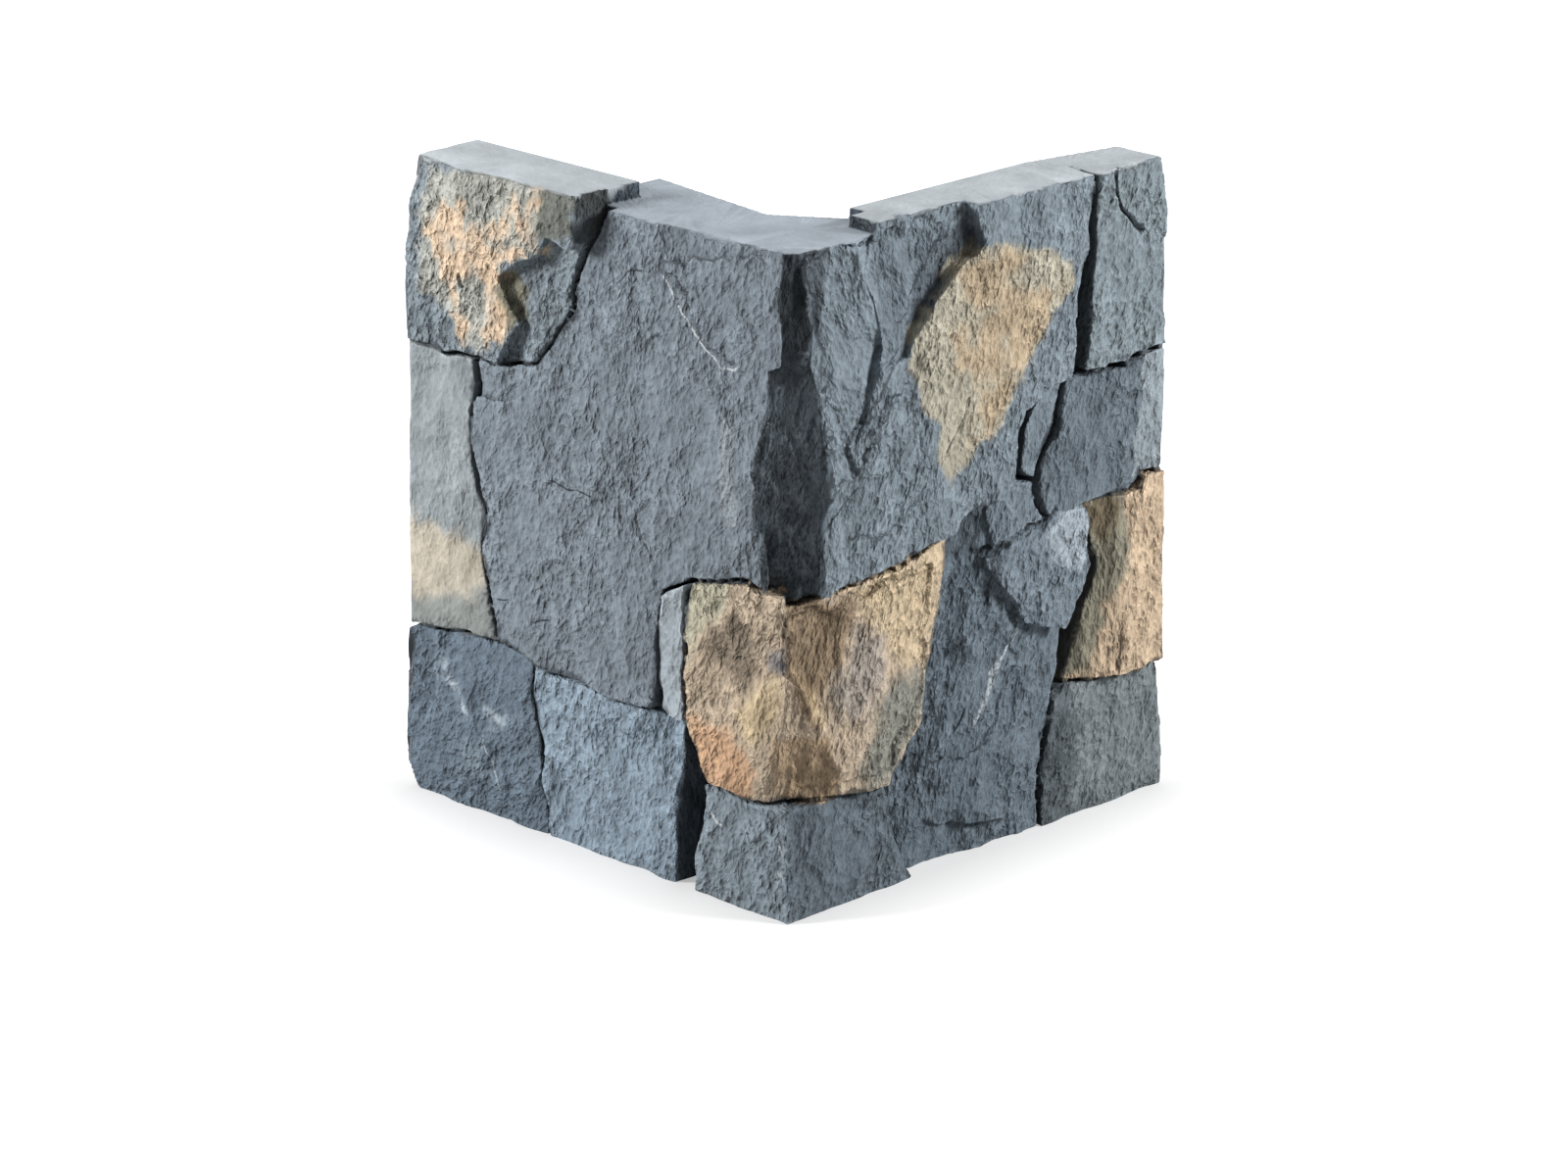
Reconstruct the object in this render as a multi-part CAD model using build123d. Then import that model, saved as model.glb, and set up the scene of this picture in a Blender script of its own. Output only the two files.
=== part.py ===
"""Stone veneer corner: one cast concrete piece for the outside corner of a wall.

Two legs meet at a right angle. Their outer faces are moulded as dry-stacked stones with open joints.
The stones stand on a bed that joins them all, and the bed is thicker behind the corner stone.
Lengths are in millimetres and angles in degrees.
"""

import os
from dataclasses import dataclass
from math import radians, sqrt, tan

from build123d import *

# Driving dimensions
HEIGHT = 410.0
LEG_LENGTH = 337.0
VENEER = 57.0  # greatest thickness, from the wall to the foremost stone
BED = 26.0  # thickness of the bed, from the wall to the bottom of the joints
JOINT_WIDTH = 3.0  # width of a joint between two stones
CORNER_DROP = 10.0  # how far the corner stone's top lies under the left leg's
RIGHT_DROP = 3.0  # how far the right leg's top lies under the left leg's

# Heel: the thicker bed in the inside corner, behind the corner stone
HEEL_LEFT = 205.0  # how far it runs along the left leg
HEEL_RIGHT = 111.0  # how far it runs along the right leg
HEEL_DEPTH = 40.0  # how far it stands out of the left leg's back at its end
HEEL_WAIST = 26.0  # the same, where its slanting side starts
HEEL_WAIST_AT = 99.0  # where that is along the left leg

# Back bevel that thins the end of the right leg
BEVEL_LENGTH = 78.0
BEVEL_DEPTH = 14.0

# Flakes broken out of the stones
HOLLOW_SETBACK = 16.0  # how far the hollow in the top left stone lies behind the foremost plane
ARRIS_SETBACK = 41.0  # how far the broken arris of the corner stone lies behind the corner's line

# Setting-out grid on the outer faces, unrolled at the corner: the left leg has negative columns
COLUMNS = 33.7  # to each leg
ROWS = 41  # to the height
COLUMN = LEG_LENGTH / COLUMNS
ROW = HEIGHT / ROWS

# Joint crossings on that grid. Those at the panel's edges lie beyond it and are trimmed off with it.
CROSSINGS = {
    "top_end": (-34, 42),
    "top_step": (-18.0, 42),
    "corner_head": (-16.6, 42),
    "step_low": (-18.0, 38.2),
    "step_foot": (-19.1, 36.2),
    "step_heel": (-19.6, 33.5),
    "bed_a_end": (-34, 28.9),
    "bed_a_gap": (-27.9, 29.0),
    "bed_a_in": (-22.7, 29.4),
    "slot_head": (-28.1, 26.2),
    "slot_foot": (-28.3, 24.5),
    "side_a": (-28.2, 22.4),
    "side_b": (-27.3, 19.3),
    "side_c": (-27.2, 16.2),
    "side_foot": (-26.1, 11.1),
    "bed_b_end": (-34, 10.6),
    "bed_b_mid": (-22.7, 10.6),
    "bed_b_in": (-15.5, 10.3),
    "bed_b_sliver": (-11.5, 10.4),
    "bed_b_tip": (-9.6, 10.1),
    "tan_tip": (-9.0, 10.1),
    "base_end": (-34, -1),
    "dark_side": (-22.8, 8.7),
    "dark_waist": (-21.8, 5.3),
    "dark_foot": (-20.5, -1),
    "blue_side": (-9.3, 6.7),
    "blue_waist": (-9.4, 3.6),
    "blue_foot": (-9.4, -1),
    "sliver_top": (-8.8, 19.0),
    "sliver_in": (-9.1, 15.4),
    "sliver_neck": (-9.4, 12.7),
    "sliver_low": (-11.6, 12.7),
    "sliver_out": (-11.5, 15.2),
    "sliver_head": (-11.2, 17.9),
    "bed_c_left": (-4.6, 19.8),
    "bed_c_dip": (3.3, 18.9),
    "bed_c_split": (6.1, 19.4),
    "bed_c_right": (14.9, 20.6),
    "split_top": (10.9, 42),
    "split_a": (9.5, 37.7),
    "split_b": (10.7, 33.1),
    "split_c": (7.1, 26.2),
    "lap_top": (9.9, 42),
    "lap_a": (8.5, 37.7),
    "lap_b": (9.7, 33.1),
    "lap_c": (6.1, 26.2),
    "lap_foot": (5.1, 19.5),
    "stair_a": (15.6, 21.4),
    "stair_b": (18.7, 22.3),
    "stair_c": (19.7, 23.0),
    "stair_d": (20.2, 24.9),
    "stair_e": (20.8, 27.2),
    "stair_f": (23.1, 28.1),
    "stair_g": (24.7, 28.3),
    "wedge_a": (25.5, 30.5),
    "wedge_b": (26.0, 34.6),
    "wedge_c": (26.8, 37.0),
    "wedge_top": (27.2, 42),
    "wedge_far_top": (27.1, 42),
    "wedge_far_c": (26.9, 36.3),
    "wedge_far_b": (26.7, 33.0),
    "wedge_far_a": (26.1, 28.5),
    "bed_d_mid": (29.8, 28.3),
    "bed_d_end": (34, 28.7),
    "top_far_end": (34, 42),
    "tan_edge_a": (14.2, 18.1),
    "tan_edge_b": (13.5, 15.1),
    "tan_edge_c": (12.1, 10.5),
    "tan_edge_d": (10.9, 8.2),
    "tan_edge_e": (9.2, 6.4),
    "bed_e_right": (3.6, 6.4),
    "bed_e_left": (-3.6, 6.6),
    "bed_e_end": (-7.0, 7.0),
    "foot_head": (-7.9, 6.5),
    "foot_left": (-8.2, -1),
    "foot_nook": (10.5, 5.9),
    "foot_side": (10.0, 3.1),
    "foot_right": (11.2, -1),
    "pocket_a": (18.9, 20.7),
    "pocket_b": (19.3, 18.8),
    "pocket_c": (21.5, 19.3),
    "pocket_d": (23.2, 20.0),
    "pocket_e": (22.7, 21.1),
    "nook_a": (18.4, 20.6),
    "nook_b": (19.0, 18.3),
    "nook_c": (21.5, 18.8),
    "nook_d": (23.2, 19.5),
    "pocket_top": (22.5, 22.5),
    "chip_foot": (21.1, 23.1),
    "chip_out": (21.4, 24.9),
    "chip_head": (21.8, 26.9),
    "chip_low": (23.2, 24.4),
    "chip_mid": (24.2, 25.7),
    "bed_f_left": (26.4, 19.9),
    "bed_f_mid": (31.1, 20.0),
    "bed_f_lift": (31.9, 20.7),
    "bed_f_end": (34, 20.8),
    "flake_tip": (17.9, 18.6),
    "flake_top_a": (20.0, 19.0),
    "flake_top_b": (22.3, 19.5),
    "flake_top_c": (23.8, 20.1),
    "flake_edge": (18.9, 16.2),
    "flake_low": (20.8, 13.9),
    "flake_lip": (24.6, 12.4),
    "flake_a": (26.6, 17.9),
    "flake_b": (27.4, 15.9),
    "flake_c": (25.6, 14.2),
    "flake_d": (25.1, 10.4),
    "flake_e": (23.9, 8.0),
    "flake_f": (23.7, 5.8),
    "flake_foot": (22.3, -1),
    "sand_a": (27.2, 17.9),
    "sand_b": (28.0, 15.9),
    "sand_c": (27.2, 13.4),
    "sand_d": (26.5, 11.3),
    "bed_g_left": (25.6, 8.5),
    "bed_g_mid": (30.8, 8.0),
    "bed_g_end": (34, 8.3),
    "base_far_end": (34, -1),
}


@dataclass(frozen=True)
class Facet:
    """One flat of a stone's cleft face, given by its relief at a place on the grid and by how it slants."""

    leg: str  # "left" or "right"
    at: tuple[float, float]  # column and row
    relief: float  # 0 at the bottom of the joints, 1 at the foremost plane
    rise_along: float = 0.0  # angle by which it stands further out toward the leg's end
    rise_up: float = 0.0  # angle by which it stands further out toward the top

    def plane(self) -> Plane:
        """The facet's plane, with its normal pointing out of the stone."""
        along = tan(radians(self.rise_along))
        up = tan(radians(self.rise_up))
        reach = abs(self.at[0]) * COLUMN
        depth = (VENEER - BED) * (1 - self.relief)
        level = self.at[1] * ROW
        if self.leg == "left":
            return Plane(origin=(depth, reach, level), z_dir=(-1, -along, -up))
        return Plane(origin=(reach, depth, level), z_dir=(-along, -1, -up))


@dataclass(frozen=True)
class Scoop:
    """A flake broken out of a stone: the outline that it left on the grid, and the flat behind it.

    On the arris the outline is seen from straight ahead of the corner, with column 0 on the corner's line.
    """

    view: str  # "left" or "arris"
    outline: tuple[tuple[float, float], ...]
    setback: float  # how far the flat lies behind the foremost plane, or behind the corner's line

    def solid(self) -> Part:
        """What is taken away: the outline's prism, from the flat outward."""
        if self.view == "left":
            flat = Plane(origin=(self.setback, 0, 0), x_dir=(0, -1, 0), z_dir=(-1, 0, 0))
        else:
            inward = self.setback / sqrt(2)
            flat = Plane(origin=(inward, inward, 0), x_dir=(1, -1, 0), z_dir=(-1, -1, 0))
        points = [(column * COLUMN, row * ROW) for column, row in self.outline]
        return extrude(flat * make_face(Polyline(*points, close=True)), amount=VENEER)


@dataclass(frozen=True)
class Leg:
    """One leg's foremost plane, on which its half of the unrolled outlines is laid, and its mitre."""

    side: int
    face_plane: Plane
    mitre: Plane

    def field(self) -> Sketch:
        """The leg's own half of the unrolled faces, which ends at the panel's edges."""
        return Pos(self.side * LEG_LENGTH / 2, HEIGHT / 2) * Rectangle(LEG_LENGTH, HEIGHT)


LEGS = {
    "left": Leg(
        -1,
        Plane(origin=(0, 0, 0), x_dir=(0, -1, 0), z_dir=(-1, 0, 0)),
        Plane(origin=(0, 0, 0), z_dir=(1, -1, 0)),
    ),
    "right": Leg(
        1,
        Plane(origin=(0, 0, 0), x_dir=(1, 0, 0), z_dir=(0, -1, 0)),
        Plane(origin=(0, 0, 0), z_dir=(-1, 1, 0)),
    ),
}


@dataclass(frozen=True)
class Step:
    """A cleft step: a stretch of a leg's face, outlined on the grid, that split off down to a flat."""

    outline: tuple[tuple[float, float], ...]
    flat: Facet

    def solid(self) -> Part:
        """What is taken away: the outline's prism, from the foremost plane down to the flat."""
        points = [(column * COLUMN, row * ROW) for column, row in self.outline]
        front = LEGS[self.flat.leg].face_plane
        prism = extrude(front * make_face(Polyline(*points, close=True)), amount=-(VENEER - BED))
        return split(prism, bisect_by=self.flat.plane(), keep=Keep.TOP)


@dataclass(frozen=True)
class Stone:
    """One moulded stone: the joint crossings round it, its flats, what broke out of it and its top's drop."""

    name: str
    loop: str
    facets: tuple[Facet, ...]
    losses: tuple[Scoop | Step, ...] = ()
    drop: float = 0.0

    def outline(self) -> Sketch:
        """The stone's outline on the unrolled faces, half a joint inside its crossings."""
        corners = [(CROSSINGS[name][0] * COLUMN, CROSSINGS[name][1] * ROW) for name in self.loop.split()]
        joints = Polyline(*corners, close=True)
        return make_face(joints) - trace(joints, line_width=JOINT_WIDTH)

    def solid(self) -> Part:
        """The stone as a prism on each leg that it reaches, mitred at the corner and cut to its flats."""
        prisms = Part()
        for leg in LEGS.values():
            share = self.outline() & leg.field()
            if share:
                prism = extrude(leg.face_plane * share, amount=-(VENEER - BED / 2))
                prisms += split(prism, bisect_by=leg.mitre, keep=Keep.BOTTOM)
        for facet in self.facets:
            prisms = split(prisms, bisect_by=facet.plane(), keep=Keep.BOTTOM)
        for loss in self.losses:
            prisms -= loss.solid()
        return split(prisms, bisect_by=Plane.XY.offset(HEIGHT - self.drop), keep=Keep.BOTTOM)


STONES = (
    Stone(
        "top_left",
        "top_end top_step step_low step_foot step_heel bed_a_in bed_a_gap bed_a_end",
        (
            Facet("left", (-26, 35), 0.81, rise_up=1),
            Facet("left", (-20, 31), 0.78, rise_along=6, rise_up=8),
        ),
        (
            Scoop(
                "left",
                (
                    (-25.4, 34.9),
                    (-22.0, 36.5),
                    (-20.9, 38.0),
                    (-17, 37.5),
                    (-17, 28.5),
                    (-25.7, 28.5),
                    (-23.6, 32.0),
                ),
                HOLLOW_SETBACK,
            ),
        ),
    ),
    Stone(
        "left_tall",
        "bed_a_end bed_a_gap slot_head slot_foot side_a side_b side_c side_foot bed_b_end",
        (Facet("left", (-30, 20), 0.74, rise_along=2, rise_up=-1),),
    ),
    Stone(
        "bottom_dark",
        "bed_b_end side_foot bed_b_mid dark_side dark_waist dark_foot base_end",
        (Facet("left", (-27, 5), 0.88, rise_along=2, rise_up=-3),),
    ),
    Stone(
        "bottom_blue",
        "bed_b_mid bed_b_in bed_b_sliver bed_b_tip blue_side blue_waist blue_foot dark_foot dark_waist"
        " dark_side",
        (
            Facet("left", (-16, 5), 0.9, rise_up=-2),
            Facet("left", (-10.8, 8), 0.84, rise_along=18, rise_up=-9),
        ),
    ),
    Stone(
        "sliver",
        "sliver_top sliver_in sliver_neck tan_tip bed_b_sliver sliver_low sliver_out sliver_head",
        (Facet("left", (-11, 14), 0.82),),
    ),
    Stone(
        "corner_large",
        "corner_head step_low step_foot step_heel bed_a_in bed_a_gap slot_head slot_foot side_a side_b side_c"
        " side_foot bed_b_mid bed_b_in bed_b_sliver sliver_low sliver_out sliver_head sliver_top bed_c_left"
        " bed_c_dip bed_c_split split_c split_b split_a split_top",
        (
            Facet("left", (-12, 40), 0.19, rise_along=2, rise_up=-4.5),
            Facet("left", (-24, 22), 0.74, rise_along=-3, rise_up=-1),
            Facet("right", (6, 38), 0.32, rise_along=2, rise_up=-5),
            Facet("right", (4.2, 26), 0.63, rise_along=-5, rise_up=-3),
            Facet("right", (3.8, 25), 0.61, rise_along=45, rise_up=-1),
        ),
        (
            Step(
                ((-28.5, 26.4), (-26.0, 26.8), (-24.3, 27.1), (-23.0, 27.6), (-22.0, 30.5), (-28.5, 30.5)),
                Facet("left", (-25, 27), 0.56, rise_along=-3, rise_up=5),
            ),
            Scoop(
                "arris",
                (
                    (-0.2, 33.5),
                    (-1.4, 32.6),
                    (-2.2, 30.6),
                    (-2.1, 28.7),
                    (-2.7, 25.6),
                    (-2.4, 24.0),
                    (-1.5, 23.0),
                    (-1.0, 18.0),
                    (2.1, 18.0),
                    (2.0, 21.5),
                    (2.6, 26.0),
                    (2.8, 29.2),
                    (1.9, 31.3),
                    (1.2, 33.5),
                ),
                ARRIS_SETBACK,
            ),
            Scoop(
                "arris",
                (
                    (-0.2, 33.0),
                    (-0.3, 35.8),
                    (-0.6, 37.3),
                    (-0.2, 39.0),
                    (-0.2, 42),
                    (1.8, 42),
                    (1.7, 38.6),
                    (2.1, 37.0),
                    (1.4, 35.1),
                    (1.2, 33.0),
                ),
                ARRIS_SETBACK,
            ),
        ),
        CORNER_DROP,
    ),
    Stone(
        "right_large",
        "lap_top lap_a lap_b lap_c lap_foot bed_c_split bed_c_right stair_a stair_b stair_c stair_d stair_e"
        " stair_f stair_g wedge_a wedge_b wedge_c wedge_top",
        (
            Facet("right", (18, 32), 0.81, rise_along=1, rise_up=-2),
            Facet("right", (12, 35), 0.65, rise_along=9, rise_up=-5),
            Facet("right", (9, 23), 0.71, rise_along=4, rise_up=-1),
        ),
        (
            Step(
                (
                    (7, 43),
                    (7, 31.5),
                    (11.4, 32.3),
                    (12.4, 34.1),
                    (13.9, 35.8),
                    (15.4, 37.1),
                    (17.0, 37.6),
                    (17.5, 38.2),
                    (17.0, 39.5),
                    (16.5, 43),
                ),
                Facet("right", (13.9, 35.8), 0.43, rise_up=-4),
            ),
        ),
        RIGHT_DROP,
    ),
    Stone(
        "corner_tan",
        "sliver_top bed_c_left bed_c_dip bed_c_split bed_c_right tan_edge_a tan_edge_b tan_edge_c"
        " tan_edge_d tan_edge_e bed_e_right bed_e_left bed_e_end tan_tip sliver_neck sliver_in",
        (
            Facet("left", (-5, 14), 0.68, rise_along=6, rise_up=-3),
            Facet("right", (7, 14), 0.84, rise_along=-1, rise_up=-2),
            Facet("right", (4.0, 8.5), 0.81, rise_along=30, rise_up=10),
        ),
        (
            Step(
                ((0.6, 21), (0.6, 15.5), (2.3, 13.8), (3.0, 11.2), (4.6, 11.6), (8, 21)),
                Facet("right", (6.7, 18.2), 0.79, rise_along=16, rise_up=-8),
            ),
        ),
    ),
    Stone(
        "bottom_corner",
        "foot_head bed_e_left bed_e_right tan_edge_e foot_side foot_right foot_left",
        (
            Facet("left", (-4, 0), 1.0, rise_up=-8),
            Facet("right", (5, 0), 1.0, rise_up=-8),
        ),
    ),
    Stone(
        "top_right",
        "wedge_far_top wedge_far_c wedge_far_b wedge_far_a bed_d_mid bed_d_end top_far_end",
        (Facet("right", (30, 35), 0.77, rise_along=-3, rise_up=1),),
        drop=RIGHT_DROP,
    ),
    Stone(
        "right_middle",
        "stair_g bed_d_mid bed_d_end bed_f_end bed_f_lift bed_f_mid bed_f_left pocket_d pocket_e pocket_top"
        " chip_low chip_mid",
        (
            Facet("right", (27, 24), 0.77, rise_along=2, rise_up=-2),
            Facet("right", (31.5, 24), 0.77, rise_along=-7),
        ),
    ),
    Stone(
        "chip",
        "chip_foot chip_out chip_head stair_f stair_g chip_mid chip_low pocket_top",
        (Facet("right", (22, 25.5), 0.61, rise_along=-4, rise_up=3),),
    ),
    Stone(
        "pocket",
        "stair_b stair_c pocket_top pocket_e pocket_d nook_d nook_c nook_b nook_a",
        (Facet("right", (20.5, 21.2), 0.6, rise_along=5, rise_up=-6),),
    ),
    Stone(
        "right_tall",
        "bed_c_right stair_a stair_b pocket_a pocket_b pocket_c pocket_d bed_f_left flake_a flake_b flake_c"
        " flake_d flake_e flake_f flake_foot foot_right foot_side foot_nook tan_edge_d tan_edge_c tan_edge_b"
        " tan_edge_a",
        (
            Facet("right", (18, 12), 0.68, rise_along=12, rise_up=-5),
            Facet("right", (20, 10), 0.71, rise_along=-3, rise_up=-2),
        ),
        (
            Step(
                (
                    (14, 23),
                    (19.5, 23),
                    (19.2, 19.0),
                    (18.5, 17.2),
                    (18.3, 14.8),
                    (17.5, 13.6),
                    (17.9, 12.1),
                    (17.4, 10.4),
                    (15.8, 8.6),
                    (14.2, 7.0),
                    (11, 7.0),
                ),
                Facet("right", (17.5, 12), 0.48, rise_along=4, rise_up=1),
            ),
            Step(
                ((12.0, 3.6), (14.1, 2.3), (15.8, 2.0), (18.9, 1.8), (20.5, 2.2), (20.5, -1), (12.0, -1)),
                Facet("right", (15, 2.2), 0.61, rise_along=4, rise_up=-4),
            ),
        ),
    ),
    Stone(
        "flake",
        "flake_tip flake_top_a flake_top_b flake_top_c bed_f_left flake_a flake_b flake_c flake_lip flake_low"
        " flake_edge",
        (Facet("right", (23, 17), 0.83, rise_along=3, rise_up=-4),),
    ),
    Stone(
        "right_sand",
        "bed_f_left bed_f_mid bed_f_lift bed_f_end bed_g_end bed_g_mid bed_g_left sand_d sand_c sand_b"
        " sand_a",
        (
            Facet("right", (30, 15), 0.81, rise_along=1, rise_up=-1),
            Facet("right", (29, 17), 0.77, rise_along=16),
        ),
    ),
    Stone(
        "right_low",
        "flake_e bed_g_left bed_g_mid bed_g_end base_far_end flake_foot flake_f",
        (Facet("right", (28, 4), 0.77, rise_up=-4),),
    ),
)


@dataclass(frozen=True)
class Wear:
    """A worn corner of a leg's end: how far it reaches along the leg and up or down the end."""

    leg: str  # "left" or "right"
    along: float
    upright: float
    at_top: bool = True

    def plane(self) -> Plane:
        """The flat that it left, with its normal pointing out of the panel."""
        level = HEIGHT - self.upright if self.at_top else self.upright
        rise = self.along if self.at_top else -self.along
        if self.leg == "left":
            return Plane(origin=(0, LEG_LENGTH, level), z_dir=(0, self.upright, rise))
        return Plane(origin=(LEG_LENGTH, 0, level), z_dir=(self.upright, 0, rise))


WORN_ENDS = (
    Wear("left", 13.0, 75.0),
    Wear("left", 9.0, 16.0, at_top=False),
    Wear("right", 7.0, 50.0),
)


def make_bed() -> Part:
    """The bed behind the stones: three lengths with their own tops, the heel and the bevelled end."""
    front = VENEER - BED
    step_left = -CROSSINGS["top_step"][0] * COLUMN
    step_right = CROSSINGS["split_top"][0] * COLUMN
    left = Polyline(
        (front, step_left), (front, LEG_LENGTH), (VENEER, LEG_LENGTH), (VENEER, step_left), close=True
    )
    corner = Polyline(
        (front, front),
        (front, step_left),
        (VENEER, HEEL_LEFT),
        (VENEER + HEEL_DEPTH, HEEL_LEFT),
        (VENEER + HEEL_WAIST, HEEL_WAIST_AT),
        (HEEL_RIGHT, VENEER),
        (step_right, front),
        close=True,
    )
    right = Polyline(
        (step_right, front),
        (LEG_LENGTH, front),
        (LEG_LENGTH, VENEER - BEVEL_DEPTH),
        (LEG_LENGTH - BEVEL_LENGTH, VENEER),
        (step_right, VENEER),
        close=True,
    )
    bed = extrude(make_face(left), amount=HEIGHT)
    bed += extrude(make_face(corner), amount=HEIGHT - CORNER_DROP)
    bed += extrude(make_face(right), amount=HEIGHT - RIGHT_DROP)
    return bed


def make_panel() -> Part:
    """The whole casting, stood on its base with the origin under its middle."""
    panel = make_bed()
    for stone in STONES:
        panel += stone.solid()
    for wear in WORN_ENDS:
        panel = split(panel, bisect_by=wear.plane(), keep=Keep.BOTTOM)
    return Pos(-LEG_LENGTH / 2, -LEG_LENGTH / 2) * panel


corner_panel = make_panel()
os.makedirs("parts", exist_ok=True)
export_step(corner_panel, "parts/corner_panel.step")
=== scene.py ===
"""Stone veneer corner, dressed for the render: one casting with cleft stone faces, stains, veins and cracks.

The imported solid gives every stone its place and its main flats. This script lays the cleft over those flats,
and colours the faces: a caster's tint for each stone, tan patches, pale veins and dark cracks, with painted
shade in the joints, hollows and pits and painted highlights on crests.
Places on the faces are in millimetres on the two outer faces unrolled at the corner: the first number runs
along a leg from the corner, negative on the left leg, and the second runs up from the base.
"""

import logging
import math
from collections.abc import Iterable, Sequence
from dataclasses import dataclass, field
from enum import Enum, IntEnum

import bmesh
import bpy
import numpy as np
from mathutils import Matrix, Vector
from mathutils.bvhtree import BVHTree

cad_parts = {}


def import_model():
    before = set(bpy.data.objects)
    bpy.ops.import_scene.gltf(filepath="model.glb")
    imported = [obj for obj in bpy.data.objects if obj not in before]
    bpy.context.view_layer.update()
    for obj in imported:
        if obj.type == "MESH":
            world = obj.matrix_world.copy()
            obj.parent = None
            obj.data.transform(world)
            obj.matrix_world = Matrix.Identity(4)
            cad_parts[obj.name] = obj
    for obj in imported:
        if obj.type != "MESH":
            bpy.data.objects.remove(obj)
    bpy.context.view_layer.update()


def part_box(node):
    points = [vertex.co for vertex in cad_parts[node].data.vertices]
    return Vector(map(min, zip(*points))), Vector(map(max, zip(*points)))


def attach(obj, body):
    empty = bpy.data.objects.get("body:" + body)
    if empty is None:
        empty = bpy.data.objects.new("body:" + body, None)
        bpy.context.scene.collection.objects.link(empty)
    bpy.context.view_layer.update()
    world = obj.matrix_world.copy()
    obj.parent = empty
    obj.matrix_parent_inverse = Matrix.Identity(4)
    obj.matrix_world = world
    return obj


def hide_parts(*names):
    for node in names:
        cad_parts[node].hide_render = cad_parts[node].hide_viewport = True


LOG = logging.getLogger("corner")
MILLIMETRE = 0.001
Place = tuple[float, float]
Array = np.ndarray

VEIN_TINT = "#dde3e6"
# The dark of the cracks, and of the lines of painted shade drawn along some edges.
CRACK_AND_SHADE_LINE_TINT = "#23282d"
# Painted shade: the near black of the joints' floors, which the stones' sides in the joints are also blended
# towards, where shade falls in the deep narrow joints.
JOINT_SHADE_TINT = "#2a2f34"

# Lengths in millimetres that several patterns share
CORNER_REACH = 22.0  # how far from the corner's line the outward direction swings round
PATCH_WIDTH = 55.0  # width of the stretches that split coarsely or smoothly
WOBBLE_WIDTH = 16.0  # width of the waves in the edges of what is drawn on the faces
MIDDLE_FLAKE = 0.5  # middle height of the flakes that knapped gives

# The twelve ways from a cube's middle to the middles of its edges
LEANS = np.array([way for way in np.ndindex(3, 3, 3) if sum(step != 1 for step in way) == 2]) - 1.0


class Side(Enum):
    """The surfaces of the casting that are no stone's weathered face."""

    BED = "bed"
    BROKEN_ARRIS = "broken arris"
    CORNER_TOP = "corner top"
    TOP = "top"
    BACK = "back"
    TOP_STEP = "step of the top"


class Seed(IntEnum):
    """Picks each of the random patterns."""

    SWELLS = 11
    LAYERS = 21
    PLATES = 31
    FLAKES = 41
    PATCHES = 71
    WANDER = 81
    WOBBLE_ALONG = 101
    WOBBLE_UP = 121
    BLOTCHES = 131
    SHARDS = 151


def linear(code: str) -> tuple[float, float, float]:
    """Turns an sRGB hex colour into linear light.

    Args:
        code: six hex digits after a hash sign.

    Returns:
        Red, green and blue from 0 to 1.
    """
    shares = [int(code[i : i + 2], 16) / 255 for i in (1, 3, 5)]
    return tuple(s / 12.92 if s <= 0.04045 else ((s + 0.055) / 1.055) ** 2.4 for s in shares)


def ease(value: Array, low: float, high: float) -> Array:
    """Eases from 0 at the low value to 1 at the high one.

    Args:
        value: numbers to ease.
        low: where the result leaves 0.
        high: where the result reaches 1.

    Returns:
        Numbers from 0 to 1.
    """
    share = np.clip((value - low) / (high - low), 0.0, 1.0)
    return share * share * (3.0 - 2.0 * share)


def scatter(cells: Array, seed: int) -> Array:
    """Gives each whole-numbered cell of a lattice its own steady random number.

    Args:
        cells: whole numbers, one row of three to a cell.
        seed: picks one of many sets of numbers.

    Returns:
        One number from 0 to 1 to a row.
    """
    mixed = cells[..., 0] * 73856093 ^ cells[..., 1] * 19349663 ^ cells[..., 2] * 83492791 ^ seed * 2654435761
    mixed = (mixed ^ (mixed >> 13)) * 1274126177 & 0x7FFFFFFF
    mixed = (mixed ^ (mixed >> 16)) * 668265263 & 0x7FFFFFFF
    return (mixed ^ (mixed >> 15)).astype(float) / 0x7FFFFFFF


def clouds(points: Array, size: float, seed: int, octaves: int = 1) -> Array:
    """Soft random swells.

    Args:
        points: places in millimetres, one row of three to a point.
        size: width of the widest swell in millimetres.
        seed: picks the pattern.
        octaves: how many finer layers are added, each half as wide and half as high.

    Returns:
        One number to a point, mostly from -1 to 1.
    """
    total = np.zeros(len(points))
    for octave in range(octaves):
        scaled = points / (size * 0.5**octave) + 0.37 * octave
        base = np.floor(scaled).astype(np.int64)
        inner = scaled - base
        fade = inner * inner * (3.0 - 2.0 * inner)
        for corner in np.ndindex(2, 2, 2):
            weight = np.prod(np.where(corner, fade, 1.0 - fade), axis=1)
            pick = np.minimum(scatter(base + corner, seed + octave) * len(LEANS), len(LEANS) - 1).astype(int)
            total += 0.5**octave * weight * np.sum(LEANS[pick] * (inner - corner), axis=1)
    return 1.5 * total


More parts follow.
